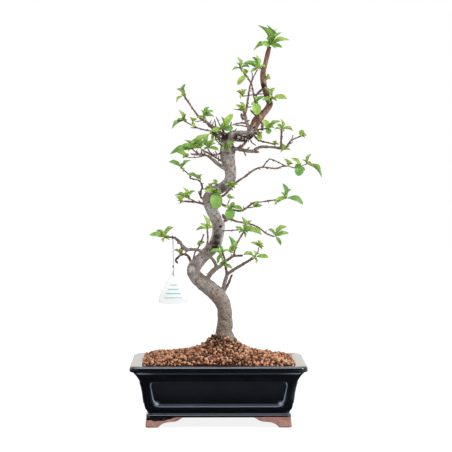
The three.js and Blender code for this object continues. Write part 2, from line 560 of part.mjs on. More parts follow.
const SPRAYS = {
  left_tip: spray(
    [-87, -35, 302], [-24, -4, 4, 60], [14, 3, 17, 45], [-13, 8, 11, 20], [8, -9, -3, 60], [0, 6, -7, 20],
  ),
  left_curl: spray([-62, 20, 272], [-11, 3, 7, 30], [-2, -6, 7, 60], [4, 6, 2, 30]),
  leaning_bud: spray([-31, -12, 288], [2, -5, 8, 60], [4, 5, 4, 30]),
  upright_tip: spray(
    [-18, -26, 315], [-5, 2, 24, 40], [-11, -6, 10, 50], [-18, 2, -2, 20], [0, 7, 14, 60], [10, 1, 2, 25],
    [-8, -9, 2, 60],
  ),
  low_up: spray(
    [7, -2, 275], [-21, -6, 1, 40], [-8, 2, 15, 60], [0, -8, -10, 60], [11, 3, 5, 35], [-9, -3, -17, 60],
    [2, 10, 7, 10],
  ),
  inner_bend: spray([21, -35, 277], [9, -3, 20, 75], [-4, 3, 27, 25], [-9, -7, 4, 50], [2, 7, 13, 30]),
  bend_front: spray([8, -31, 259], [15, -3, -7, 75], [-4, -2, 8, 50], [-7, -8, -3, 40], [6, -10, 5, 30]),
  low_right_tip: spray(
    [59, -43, 271], [22, -3, -1, 70], [-19, 3, 4, 30], [2, -5, -11, 60], [-3, -9, 11, 40], [7, 10, 6, 30],
  ),
  low_right_rise: spray([65, -41, 288], [-13, -3, 6, 60], [-2, 5, 9, 40], [8, 2, 3, 30], [5, -6, -6, 60]),
  inner_bend_top: spray(
    [41, -30, 312], [-14, -4, 7, 75], [29, -3, -5, 50], [14, -9, 8, 60], [-3, 3, 23, 35], [13, 5, 17, 20],
    [3, -5, -10, 70], [-8, 6, -4, 50],
  ),
  right_node_tip: spray(
    [95, 40, 301], [-12, 3, 11, 45], [9, -4, -15, 80], [22, -3, 6, 60], [18, 6, 16, 15], [11, 9, 11, 40],
  ),
  middle_right_tip: spray(
    [108, -46, 366], [-16, -9, -3, 75], [-18, -8, -11, 55], [-5, 2, 23, 60], [28, -4, -11, 50],
    [9, 6, 14, 20], [-8, -8, 9, 60],
  ),
  middle_right_spur: spray([58, -33, 351], [13, -2, 3, 70]),
  middle_right_face: spray(
    [21, -24, 350], [-4, -5, -19, 85, 0.8], [19, -8, -4, 65], [4, -5, 9, 80, 0.7], [-11, -8, 0, 60],
  ),
  trunk_face: spray(
    [-5, -12, 375], [3, -10, -27, 88, 0.7], [-17, -7, 1, 60], [10, -11, -1, 50], [-4, -9, 6, 35],
  ),
  middle_right_rise: spray([18, -18, 364], [1, -1, 9, 50], [-4, -4, 3, 50], [5, 3, 1, 50]),
  long_right_low: spray(
    [23, -8, 384], [-12, -6, 4, 45], [-5, -5, 9, 40], [4, -6, -5, 70], [9, -6, 3, 40], [-2, -9, -4, 50],
  ),
  left_high_side: spray([-12, 11, 379], [-9, 3, 2, 40], [3, 2, 11, 50], [-5, -4, 8, 40]),
  shoulder_bud: spray([-4, -1, 386], [4, 1, 7, 55], [-7, 8, 1, 30]),
  left_high_tip: spray([-60, 30, 414], [-21, -3, 10, 60], [14, 2, 14, 40], [2, -6, -8, 60], [-7, 9, 7, 20]),
  left_high_mid: spray([-32, 17, 396], [-19, -3, 7, 45], [6, 4, 8, 50], [5, -7, -2, 50]),
  left_low_fork: spray(
    [-49, -21, 366], [-7, 0, 17, 50], [-22, 0, 5, 30], [11, 3, 11, 25], [4, -8, -2, 60], [-7, -8, 6, 50],
  ),
  left_low_tip: spray([-61, -26, 360], [-6, -2, 1, 60], [-2, 2, 9, 50], [5, -5, -3, 60]),
  long_right_tip: spray([147, 49, 421], [27, -3, -20, 40], [8, 3, 16, 50], [2, -6, 10, 50], [-6, 8, 6, 30]),
  long_right_face: spray([137, 46, 418], [-5, -6, -17, 86, 0.8], [-15, -2, 13, 65], [5, 6, -10, 60]),
  long_right_side: spray([117, 41, 418], [-8, -2, 12, 45], [0, 4, 8, 50], [8, -5, 3, 60]),
  rising_tip: spray([-56, -23, 531], [3, -1, 19, 50], [-13, -2, -10, 35], [-11, 4, 11, 20], [5, -7, 1, 50]),
  crown_left_tip: spray(
    [-57, 26, 492], [-7, 1, 18, 50], [-20, -3, -12, 30], [4, -5, 11, 75], [6, -6, -3, 60],
  ),
  crown_left_face: spray([-42, 20, 488], [2, -6, -7, 85, 0.8], [-5, -1, 9, 60], [7, 3, 6, 40]),
  crown_rising_face: spray(
    [-24, -16, 497], [9, -1, 16, 60], [17, -3, 9, 50], [17, 3, 0, 50], [-4, 3, 11, 30], [-11, -5, -2, 60],
    [2, -9, -6, 60],
  ),
  knot_face: spray(
    [8, -12, 477], [15, -4, 25, 75, 0.5], [-21, -5, -4, 75], [16, -3, 2, 80, 0.6], [-3, 4, 20, 30],
    [2, -9, 11, 40],
  ),
  knot_left: spray([-6, 3, 470], [-3, -3, 6, 50], [1, -4, -12, 60], [-5, -3, -5, 60], [6, -8, -6, 60]),
  collar_face: spray([11, -14, 447], [16, -3, 9, 65], [-9, -2, 7, 50], [-3, -7, -6, 60], [9, -4, -5, 50]),
  collar_left: spray(
    [-17, -19, 446], [18, -4, -4, 65], [-6, 1, 11, 50], [2, 3, 24, 40], [7, -7, 10, 60], [-8, -8, -4, 60],
  ),
  shoulder_left_face: spray(
    [-41, -28, 445], [25, -3, 25, 65, 0.4], [-13, 4, 16, 20], [-37, -4, -7, 65, 0.3], [12, -8, 6, 70],
    [-4, -3, 12, 40], [-9, 8, -4, 40],
  ),
  shoulder_left_upper_tip: spray([-29, 15, 446], [-4, 3, 11, 40], [-12, 4, 1, 50], [6, 7, 7, 50]),
  shoulder_left_low: spray([-50, -26, 432], [-19, -3, 11, 60, 0.4], [-7, 4, -3, 40]),
  second_leader_face: spray(
    [41, -15, 507], [-13, -4, 9, 65], [-6, -3, 14, 50], [5, -7, -4, 60], [2, 4, 10, 30],
  ),
  leader_thin_tip: spray([39, -14, 531], [-10, 1, 8, 50], [7, 2, 10, 25], [-3, -6, -6, 50]),
  crossing_face: spray(
    [61, -9, 521], [2, -4, -21, 88, 0.8], [14, -4, 9, 65], [-4, -5, 10, 45], [-8, -5, -5, 60],
  ),
  bridge_face: spray(
    [81, -22, 478], [0, -6, -9, 85, 0.9], [-8, -3, 14, 75, 0.6], [19, -3, 13, 50], [10, 6, 1, 40],
  ),
  bridge_low: spray([65, -13, 468], [3, -5, -9, 80, 0.8], [-4, -4, 6, 50], [7, 4, 2, 50]),
  riser_tip: spray(
    [102, -31, 476], [18, 2, -1, 30], [-13, -2, 1, 20], [0, 2, 18, 35], [4, -6, -5, 60], [6, -6, 8, 50],
  ),
  bridge_right_tip: spray([92, -26, 452], [0, -5, -6, 75], [3, 1, 6, 50], [6, -4, -1, 50], [-5, -2, 5, 50]),
  collar_right_low: spray([105, -36, 443], [11, -2, 0, 60], [-5, -4, -5, 60], [2, -8, 5, 40]),
  collar_right_tip: spray([134, -44, 465], [-5, 1, 6, 50], [5, -3, -4, 60], [4, 5, 2, 50]),
  apex: spray(
    [85, 6, 614], [-16, 4, 35, 20], [-5, -4, 29, 60], [-1, 8, 34, 20], [8, 5, 28, 35], [17, -4, 22, 60],
    [31, -4, 10, 60], [-15, -10, 3, 75, 0.6], [-28, 2, -5, 20], [19, -6, -4, 75], [8, -10, -6, 60],
    [-6, -9, -5, 60], [4, -9, 19, 50], [-6, 12, 12, 30], [12, 13, 9, 30],
  ),
  crossing_tip: spray(
    [36, -9, 576], [-4, 1, 19, 50], [-14, -2, -3, 40], [15, 2, 2, 25], [-6, -5, 9, 50], [4, -6, -4, 60],
    [3, 6, 10, 40],
  ),
  second_leader_tip: spray(
    [63, -15, 575], [0, 1, 22, 50], [-7, 5, 19, 20], [-23, -2, 8, 30], [-11, -6, -6, 75], [14, 1, 3, 40],
    [5, -6, -4, 60], [-10, -6, 12, 60],
  ),
  crossing_side: spray([45, -9, 565], [-14, -4, -16, 80, 0.4], [5, -5, 6, 50], [-3, 4, 6, 40]),
  leader_right: spray([80, -3, 558], [6, 1, 0, 30], [0, -1, 8, 50]),
  leader_face: spray(
    [87, -3, 527], [-11, -5, 19, 55, 0.3], [-16, -7, -3, 75], [25, -4, -1, 65], [6, 4, 18, 40],
    [-4, -7, -9, 65], [8, -8, -5, 60],
  ),
};

// Stations along a blade: share of its length, and half width as a share of its greatest half width.
const BLADE_STATIONS = [[0.34, 0.86], [0.66, 0.92]];
const BUD_STATIONS = [[0.5, 1]];

// One leaf: folded along its rib, arched, its two edges waved by turns, pointed at both ends.
function leafBlade(hub, hubRadius, [dx, dy, dz, facing, share = BLADE_SHARE]) {
  const reach = new THREE.Vector3(dx, dy, dz);
  const length = reach.length();
  const along = reach.clone().normalize();
  const front = new THREE.Vector3(0, -1, 0).addScaledVector(along, along.y).normalize();
  const upper = along.clone().cross(front);
  if (upper.z < 0) upper.negate();
  const angle = THREE.MathUtils.degToRad(facing);
  const up = upper.multiplyScalar(Math.cos(angle)).addScaledVector(front, Math.sin(angle)).normalize();
  const side = along.clone().cross(up);
  const halfBlade = Math.max((length * share) / 2, LEAST_HALF_BLADE);
  const rib = (t) => {
    const rise = BLADE_ARCH * length * Math.sin(Math.PI * t);
    return hub.clone().addScaledVector(along, t * length).addScaledVector(up, rise);
  };
  const stations = length < BUD_LENGTH ? BUD_STATIONS : BLADE_STATIONS;
  const rings = stations.map(([t, width], i) => {
    const half = Math.max(width * halfBlade, STALK_HALF_WIDTH);
    const wave = (i % 2 === 0 ? 1 : -1) * BLADE_WAVE;
    const edge = (sign) =>
      rib(t).addScaledVector(side, sign * half).addScaledVector(up, BLADE_FOLD * half + sign * wave);
    const top = rib(t).addScaledVector(up, BLADE_TOP_SHARE * BLADE_THICKNESS);
    const bottom = rib(t).addScaledVector(up, (BLADE_TOP_SHARE - 1) * BLADE_THICKNESS);
    return [top, edge(1), bottom, edge(-1)];
  });
  return toSolid(loft(rings, rib((BLADE_ROOT * hubRadius) / length), rib(1)));
}

// A spray: its leaves joined at the hub, which sits round the twig with a small clearance.
function makeSpray({ hub, leaves }, radius, wood) {
  const centre = point(hub);
  const knob = new THREE.OctahedronGeometry(radius, 0).translate(...hub);
  const blades = leaves.map((leaf) => leafBlade(centre, radius, leaf));
  return largest(join([toSolid(knob), ...blades]).subtract(wood));
}

// The label: a triangle with round corners, point up, hung from a hole under its top corner. Its
// corners stand out past its width and height by what their rounding takes off.
function makeTag() {
  const halfBase = TAG_WIDTH / 2 + TAG_BASE_ROUNDING * TAG_CORNER;
  const peak = TAG_PEAK_ROUNDING * TAG_CORNER;
  const corners = [
    new THREE.Vector2(-halfBase, -TAG_HEIGHT),
    new THREE.Vector2(halfBase, -TAG_HEIGHT),
    new THREE.Vector2(0, peak),
  ];
  const outline = roundedOutline(THREE.Shape, corners, 2 * TAG_CORNER);
  const hole = new THREE.Path();
  hole.absarc(0, -TAG_HOLE_DROP, TAG_HOLE_RADIUS, 0, 2 * Math.PI, false);
  outline.holes.push(hole);
  const shape = { depth: TAG_THICKNESS, bevelEnabled: false, curveSegments: 5 };
  const plate = new THREE.ExtrudeGeometry(outline, shape).rotateX(Math.PI / 2);
  const [x, y, z] = TAG_TOP;
  return toSolid(plate.translate(x, y + TAG_THICKNESS / 2, z));
}

// The string's route: once round the twig, down, through the label's hole and back up behind the label.
const STRING_ROUTE = [
  [-75, -31.6, 299.1], [-74.9, -29.7, 300.4], [-74.7, -29.2, 302.4], [-74.5, -30.2, 304.2],
  [-74.3, -32.2, 304.8], [-74, -34.2, 304], [-73.8, -35.1, 302.2], [-73.6, -34.8, 300.1],
  [-73.4, -33.8, 297.8], [-73.3, -33.2, 294],
  [-73.2, -33, 288], [-73.2, -33, 281], [-73.1, -33, 274], [-73, -33.1, 267], [-73, -33.5, 260],
  [-73, -34.4, 254], [-73, -35.2, 249], [-73, -35.4, 245], [-73, -35.2, 241.5], [-73, -34.2, 239.6],
  [-73, -32.8, 239.2], [-73, -31.4, 240], [-73, -30.7, 242.5], [-73, -30.6, 246], [-73, -31, 250],
];

function makeString() {
  const route = new THREE.CatmullRomCurve3(STRING_ROUTE.map(point), false, "centripetal");
  const section = new THREE.Shape();
  for (let k = 0; k < STRING_SIDES; k++) {
    const angle = (2 * Math.PI * k) / STRING_SIDES;
    const x = (STRING_DIAMETER / 2) * Math.cos(angle);
    const y = (STRING_DIAMETER / 2) * Math.sin(angle);
    if (k === 0) section.moveTo(x, y);
    else section.lineTo(x, y);
  }
  const steps = Math.round(route.getLength() / STRING_STEP);
  return toSolid(new THREE.ExtrudeGeometry(section, { steps, extrudePath: route, bevelEnabled: false }));
}

const bonsai = new THREE.Group();
bonsai.add(toMesh("pot", makePot(), "#2a2427", 0.25));
bonsai.add(toMesh("drainage_mesh_left", makeScreen(-DRAIN_SPACING / 2), "#23262a", 0.6));
bonsai.add(toMesh("drainage_mesh_right", makeScreen(DRAIN_SPACING / 2), "#23262a", 0.6));
bonsai.add(toMesh("soil", makeSoil(), "#a15c3a", 0.95));
bonsai.add(toMesh("tree_wood", makeWood(0), "#81705f", 0.85));

const grownWood = makeWood(GAP);
for (const [name, shape] of Object.entries(SPRAYS)) {
  const radius = name === "apex" ? APEX_HUB_RADIUS : HUB_RADIUS;
  bonsai.add(toMesh("leaves_" + name, makeSpray(shape, radius, grownWood), "#b4c23c", 0.5));
}

bonsai.add(toMesh("tag", makeTag(), "#f4f4f2", 0.4));
bonsai.add(toMesh("tag_string", makeString(), "#1c1c1c", 0.7));

// The origin is at the middle of the whole thing's outline, on the surface that the pot stands on.
const outline = new THREE.Box3().setFromObject(bonsai);
const centre = outline.getCenter(new THREE.Vector3());
bonsai.position.set(-centre.x, -centre.y, -outline.min.z);

export default bonsai;
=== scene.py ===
"""A Chinese quince bonsai in a glazed pot, with its label: the finish and fine form of every piece.

Sizes and places in the tables are in millimetres from the pot's middle, on the surface it stands on.
They become metres of the frame where a mesh is made.
"""
import math
import random
from functools import partial

import bmesh
import bpy
import numpy as np
from bpy.props import FloatProperty, FloatVectorProperty, IntProperty, PointerProperty
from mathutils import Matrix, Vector


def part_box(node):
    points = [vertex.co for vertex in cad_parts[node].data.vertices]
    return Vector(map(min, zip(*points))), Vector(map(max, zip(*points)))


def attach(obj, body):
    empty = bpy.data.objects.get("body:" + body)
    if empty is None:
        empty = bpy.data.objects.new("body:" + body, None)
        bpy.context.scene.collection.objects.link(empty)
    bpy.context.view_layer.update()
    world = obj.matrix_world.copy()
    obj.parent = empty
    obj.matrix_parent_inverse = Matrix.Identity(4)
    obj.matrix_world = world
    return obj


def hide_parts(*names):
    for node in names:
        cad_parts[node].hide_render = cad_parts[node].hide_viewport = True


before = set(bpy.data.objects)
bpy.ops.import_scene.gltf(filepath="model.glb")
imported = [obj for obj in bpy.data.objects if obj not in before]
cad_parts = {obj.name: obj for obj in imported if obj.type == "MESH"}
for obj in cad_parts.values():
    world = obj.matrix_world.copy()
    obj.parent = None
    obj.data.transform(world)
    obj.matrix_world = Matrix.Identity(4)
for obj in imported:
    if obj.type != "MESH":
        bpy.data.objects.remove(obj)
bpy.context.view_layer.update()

bl_info = {
    "name": "Quince bonsai",
    "version": (1, 0, 0),
    "blender": (4, 5, 0),
    "location": "3D View > Sidebar > Bonsai",
    "description": "Builds the wood, leaves, soil, pot and label of a potted quince bonsai",
    "category": "Add Mesh",
}

MM = 0.001
POT_LOW, POT_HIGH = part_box("pot")
MIDDLE = np.array([(POT_LOW.x + POT_HIGH.x) / 2, (POT_LOW.y + POT_HIGH.y) / 2, 0.0])
HALF_LENGTH = (POT_HIGH.x - POT_LOW.x) / 2 / MM
HALF_WIDTH = (POT_HIGH.y - POT_LOW.y) / 2 / MM
POT_HEIGHT = POT_HIGH.z / MM

# The pot's wall, as [inset from the rim's edge, height]: outside from the underside up, then inside.
FOOT_HEIGHT = 17
BASE_INSET = 25.5
FLOOR_TOP = 26
RIM_BAND = 17.5
RIM_CORNER = 16
CORNER_TIGHTENING = 0.35
LEAST_CORNER = 5
BOWL_OUTSIDE = [
    (27, FOOT_HEIGHT), (25.9, 15.8), (24.5, 16.6), (23.9, 18.6), (24.6, 20.6), (27.6, 22.2), (27.2, 24),
    (23, 29.5), (21.4, 34.5), (20.2, 44), (19.2, 54), (17.4, 64), (14.6, 73.5), (12.2, 78), (9.8, 82),
    (6.3, 86.6), (4.4, 88), (4, 89.6), (2.4, 90.4), (-0.9, 90.8), (-1.6, 92), (-1.3, POT_HEIGHT - 2.4),
    (-0.2, POT_HEIGHT - 0.7), (1.6, POT_HEIGHT),
]
BOWL_INSIDE = [
    (40, FLOOR_TOP), (33, 33), (26.5, 44.5), (21, 70), (RIM_BAND + 1, 92), (RIM_BAND, POT_HEIGHT - 1),
]

# The raised bead round each sunk panel: heights, insets of its ends, and its corner radius.
BEAD_TOP = 75
BEAD_BOTTOM = 36.9
BEAD_TOP_INSET = 30
BEAD_BOTTOM_INSET = 37.5
BEAD_CORNER = 9

# The groove outside each bead: its middle and half its width, as shares of the bead's width.
GROOVE_OFFSET = 0.78
GROOVE_HALF = 0.3

# Where the glaze changes: heights of the wall's lower part, of the thin glaze on the rim's edge, on the
# lip's and on the base band, and of the painted highlight under the lip, the place of the brightest painted
# glint beside a bead, and where the feet's glaze starts.
LOW_WALL = (38, 70)
THIN_RIM = (96, 98.5)
THIN_LIP = (97.6, 99)
BASE_BAND = 20.5
LIP_HIGHLIGHT = 88.8
CORNER_GLINT = (99, 38.5)
FOOT_GLAZE = (16.4, 17.4)

# Columns of the pot's rings along a long side, a short side and a corner.
LONG_COLUMNS = 168
SHORT_COLUMNS = 118
CORNER_COLUMNS = 12

# The bracket feet.
FOOT_LENGTH = 64
SHORT_FOOT_SHARE = 0.74
FOOT_TOE = 22
FOOT_PLATE = 10
FOOT_SPREAD = 3
FOOT_SCALLOP = [(5, 8), (18, 9), (28, 9), (34, 14)]
FOOT_VOXEL = 0.8
FOOT_EASING = 12

# What the pot holds.
GAP = 0.3
SOIL_EDGE = 97.5
SOIL_DOME = 10
SOIL_DOME_REACH = 8
SOIL_CONE = 54
SOIL_CONE_REACH = 29
SOIL_PEAK = (6.5, -3)
SOIL_CONE_TOP = 12
SOIL_LEAN = 0.012
DRAIN_RADIUS = 10
DRAIN_SPACING = 110
SCREEN_BAR = 0.6
TRUNK_FOOT = (10, 0)

# The trunk, as [x, y, z, radius], from the roots up to the gnarled knot.
TRUNK = [
    (10, 2, 99, 9), (10, 1, 116, 15), (11, 0, 129, 20), (10.5, 0, 137, 16.8), (8.5, 0, 145, 13.4),
    (11, -1, 157, 13), (11, -2, 168, 12), (10, -3, 183, 12), (6, -5, 196, 12.5), (-2, -6, 207, 13),
    (-13, -6, 217, 12.5), (-26, -5, 227, 12), (-36, -3, 236, 11.5), (-41, 0, 246, 11), (-37, 3, 255, 10.5),
    (-30, 5, 263, 10), (-22, 7, 271, 10), (-13, 8, 280, 10), (-6, 8, 288, 10), (-2, 7, 299, 10),
    (0, 6, 310, 10), (0, 4, 320, 10.5), (-3, 1, 329, 9.5), (-8, -3, 340, 9.5), (-14, -5, 351, 9),
    (-17, -6, 361, 9), (-14, -5, 369, 9), (-6, -1, 376, 9), (5, 3, 381, 9), (15, 6, 388, 9),
    (20, 7, 398, 9), (20, 6, 410, 9.8), (17, 4, 423, 11.2), (15, 2, 434, 12.3), (15, 0, 445, 12),
    (14, -1, 456, 10), (14, -2, 464, 9), (15, -3, 471, 6),
]

# The thick level stretch right of the knot and the leader that rises from it.
LEADER = [
    (14, -2, 462, 8), (23, -4, 466, 8.6), (34, -6, 465.5, 9), (45, -6, 466, 8.6), (53, -3, 471, 7.4),
    (58, 1, 481, 7), (63, 4, 491, 7.5), (71, 6, 500, 6), (79, 7, 509, 5.5), (84, 6, 518, 5),
    (81, 4, 527, 5), (78, 2, 537, 5), (75, 1, 547, 4.5), (73, 1, 559, 5), (73, 1, 570, 4.5),
    (76, 3, 581, 4), (79, 4, 593, 4), (82, 6, 605, 3.5), (84, 6, 612, 3),
]

# The leader's bark is reddish from this row up.
WARM_START = 5

# Radii between which bark turns from young to old, passes that ease the trunk's skin, and how many points
# are aged at a time.
YOUNG_RADII = (1.4, 4.4)
TRUNK_EASING = 4
CHUNK = 5000

# Each branch, as its foot's radius, its tip's radius and the points of its path.
ROOTS = [
    (8, 2, (10, 0, 124), (30, 8, 117), (48, 14, 104), (62, 18, 84)),
    (7, 2, (10, 0, 122), (16, 22, 116), (22, 40, 102), (24, 54, 82)),
    (7, 2, (10, 0, 124), (-10, 12, 116), (-30, 22, 102), (-46, 28, 80)),
    (8, 2, (10, 0, 124), (-12, -6, 117), (-32, -12, 103), (-50, -16, 84)),
    (7, 2, (10, 0, 122), (4, -22, 115), (0, -40, 101), (-4, -54, 82)),
    (7, 2, (10, 0, 122), (28, -16, 115), (44, -28, 101), (56, -36, 82)),
]
THICK_BRANCHES = [
    (3.4, 2.8, (7, -5, 208), (10, -8, 225), (13, -12, 236), (15, -14, 243)),
    (2.8, 2.1, (15, -14, 242), (22, -20, 247), (31, -27, 253), (42, -33, 260), (57, -42, 270)),
    (4.4, 2.9, (-20, -8, 229), (-13, -15, 242), (-6, -20, 249), (3, -25, 255), (9, -29, 261)),
    (2.6, 1.8, (8, -28, 260), (17, -33, 267), (25, -37, 272), (38, -43, 273)),
    (2.9, 2.3, (-8, -18, 248), (-4, -21, 254), (-6, -23, 261), (-12, -24, 269), (-18, -25, 275),
     (-27, -26, 279), (-37, -27, 282), (-53, -29, 282)),
    (2.9, 1.4, (-51, -29, 282), (-58, -30, 288), (-62, -31, 294), (-67, -31, 299), (-74, -32, 302),
     (-86, -35, 302)),
    (3.4, 1.5, (14, 3, 411), (1, -3, 419), (-7, -8, 426), (-14, -12, 431), (-22, -16, 435), (-43, -27, 436)),
    (1.8, 1.1, (12, 4, 422), (-1, 8, 429), (-16, 12, 438), (-28, 15, 445)),
    (3.2, 1.3, (14, -4, 445), (28, -12, 445), (45, -21, 442), (55, -24, 441), (61, -26, 445), (70, -28, 448),
     (91, -32, 447), (101, -34, 445), (109, -36, 447), (117, -39, 458), (132, -43, 465)),
    (2, 1.6, (50, -6, 466), (44, -11, 455), (33, -15, 445)),
    (3.2, 1.4, (9, -3, 467), (-7, -9, 479), (-23, -15, 491), (-32, -18, 497), (-55, -23, 530)),
    (3.4, 2.5, (51, -6, 469), (49, -11, 480), (45, -13, 491), (42, -14, 506)),
    (2.3, 1.2, (43, -14, 500), (46, -15, 513), (48, -15, 525), (52, -15, 549), (63, -15, 573)),
    (2.1, 1.2, (65, 1, 498), (62, -3, 516), (58, -4, 530), (56, -5, 542), (53, -7, 552), (46, -8, 562),
     (36, -9, 575)),
    (2.2, 1.2, (2, 4, 322), (14, 9, 329), (21, 13, 330), (30, 18, 326), (50, 26, 322), (66, 31, 316),
     (79, 36, 306), (93, 40, 300)),
    (2.2, 1.1, (-10, -5, 368), (-2, -7, 367), (8, -8, 369), (16, -8, 376), (29, -5, 390), (44, 3, 400),
     (56, 11, 409), (64, 17, 413), (74, 23, 415), (96, 33, 413), (105, 37, 416), (116, 41, 417),
     (128, 45, 414), (146, 49, 420)),
    (2.2, 1.2, (-18, -6, 354), (-34, -14, 358), (-42, -18, 359), (-58, -25, 360), (-62, -26, 357)),
    (2.1, 1.1, (-19, -5, 361), (-28, 2, 366), (-28, 9, 377), (-26, 12, 382), (-30, 16, 392), (-37, 19, 395),
     (-46, 22, 397), (-47, 24, 402), (-60, 30, 413)),
    (2, 1, (12, 1, 466), (0, 8, 473), (-16, 15, 475), (-35, 21, 480), (-56, 26, 491)),
    (2, 1.2, (-12, -8, 362), (4, -15, 356), (12, -19, 352), (25, -23, 346), (38, -27, 345), (51, -31, 354),
     (57, -33, 358), (67, -36, 359), (107, -46, 365)),
]
THIN_BRANCHES = [
    (1, 0.8, (55, -41, 269), (63, -42, 278), (65, -41, 286)),
    (2.2, 1.4, (14, -13, 242), (12, -9, 253), (11, -5, 262), (8, -2, 274)),
    (2.2, 1.5, (10, -3, 213), (17, -4, 226), (20, -5, 234), (22, -5, 239)),
    (1.5, 1.2, (25, -37, 273), (27, -36, 284), (31, -34, 294), (41, -30, 311)),
    (0.9, 0.8, (22, -35, 270), (21, -35, 275)),
    (1.7, 1.2, (-18, -25, 275), (-18, -26, 289), (-17, -26, 300), (-18, -26, 314)),
    (1.2, 1, (-42, 4, 260), (-38, -4, 276), (-31, -11, 287), (-24, -20, 305)),
    (2.2, 1.5, (-41, 2, 253), (-47, 8, 265), (-50, 13, 270), (-55, 17, 272), (-61, 20, 271), (-66, 22, 267),
     (-70, 23, 262), (-67, 24, 258)),
    (2.8, 2.2, (14, 9, 328), (10, 5, 333), (8, 3, 337)),
    (0.9, 0.8, (3, 3, 311), (17, -8, 312), (35, -24, 314)),
    (0.9, 0.8, (44, -29, 349), (57, -33, 351)),
    (0.8, 0.7, (14, -20, 351), (16, -19, 357), (18, -18, 362)),
    (1.1, 0.9, (74, 23, 415), (78, 23, 422), (82, 24, 426), (88, 27, 428), (112, 40, 417)),
    (1.1, 0.8, (-35, -15, 358), (-42, -19, 362), (-49, -21, 365)),
    (1.4, 1, (-28, 2, 366), (-30, 3, 370), (-32, 4, 374)),
    (0.9, 0.8, (-27, 11, 380), (-20, 11, 379), (-13, 11, 379)),
    (0.9, 0.7, (-21, -16, 434), (-36, -22, 431), (-49, -26, 431)),
    (1.2, 0.9, (-29, -20, 436), (-37, -25, 440), (-41, -28, 444)),
    (1.5, 0.9, (11, -3, 441), (-1, -10, 436), (-8, -14, 435), (-14, -17, 440), (-17, -19, 445)),
    (2.4, 1.9, (52, -23, 441), (64, -26, 440)),
    (1, 0.8, (113, -37, 452), (119, -37, 455)),
    (0.9, 0.7, (117, -39, 458), (120, -38, 466)),
    (1.8, 1.4, (101, -34, 445), (101, -33, 457), (102, -31, 474)),
    (0.9, 0.8, (50, -5, 468), (53, -13, 457), (60, -21, 451)),
    (1.8, 1, (55, -4, 471), (63, -10, 461), (71, -15, 457), (80, -20, 455), (91, -26, 452)),
    (1.4, 1, (53, -5, 474), (64, -13, 476), (80, -22, 478)),
    (1, 0.8, (55, -4, 472), (65, -12, 467)),
    (0.8, 0.7, (-31, 20, 479), (-45, 24, 480)),
    (0.9, 0.8, (-39, 22, 482), (-42, 20, 487)),
    (1.1, 0.9, (-22, -15, 491), (-24, -16, 496)),
    (0.8, 0.7, (-24, -15, 491), (-36, -14, 489)),
    (1.4, 1.1, (11, -7, 468), (8, -12, 476)),
    (0.8, 0.7, (9, -5, 469), (1, -8, 487), (-3, -10, 496)),
    (1, 0.8, (13, 0, 467), (-5, 3, 470)),
    (1.1, 0.9, (12, -8, 446), (11, -13, 447)),
    (0.9, 0.7, (11, -7, 444), (2, -10, 453), (-4, -12, 460)),
    (1.6, 1, (47, -12, 486), (37, -13, 487), (24, -17, 484)),
    (1, 0.8, (49, -10, 480), (37, -7, 483), (29, -6, 483)),
    (1, 0.8, (44, -13, 496), (37, -12, 502)),
    (0.8, 0.7, (42, -14, 505), (34, -15, 508), (26, -16, 509)),
    (0.9, 0.8, (46, -15, 512), (53, -15, 513)),
    (0.8, 0.7, (54, -6, 548), (55, -10, 560), (55, -11, 568)),
    (1, 0.8, (61, -4, 520), (61, -8, 520)),
    (1.8, 1.5, (74, 0, 544), (65, -3, 536), (59, -4, 529)),
    (0.8, 0.7, (77, 1, 535), (59, -7, 533), (40, -14, 530)),
    (1.4, 1.1, (81, 3, 527), (87, -2, 527)),
    (0.9, 0.8, (75, 0, 558), (79, -2, 558)),
    (1.4, 1, (74, 1, 572), (68, 0, 578), (67, 0, 582)),
    (2.3, 1.6, (71, -17, 476), (72, -8, 485), (75, -7, 489)),
    (1.7, 1.3, (72, -9, 484), (65, -8, 494), (53, -8, 507)),
]
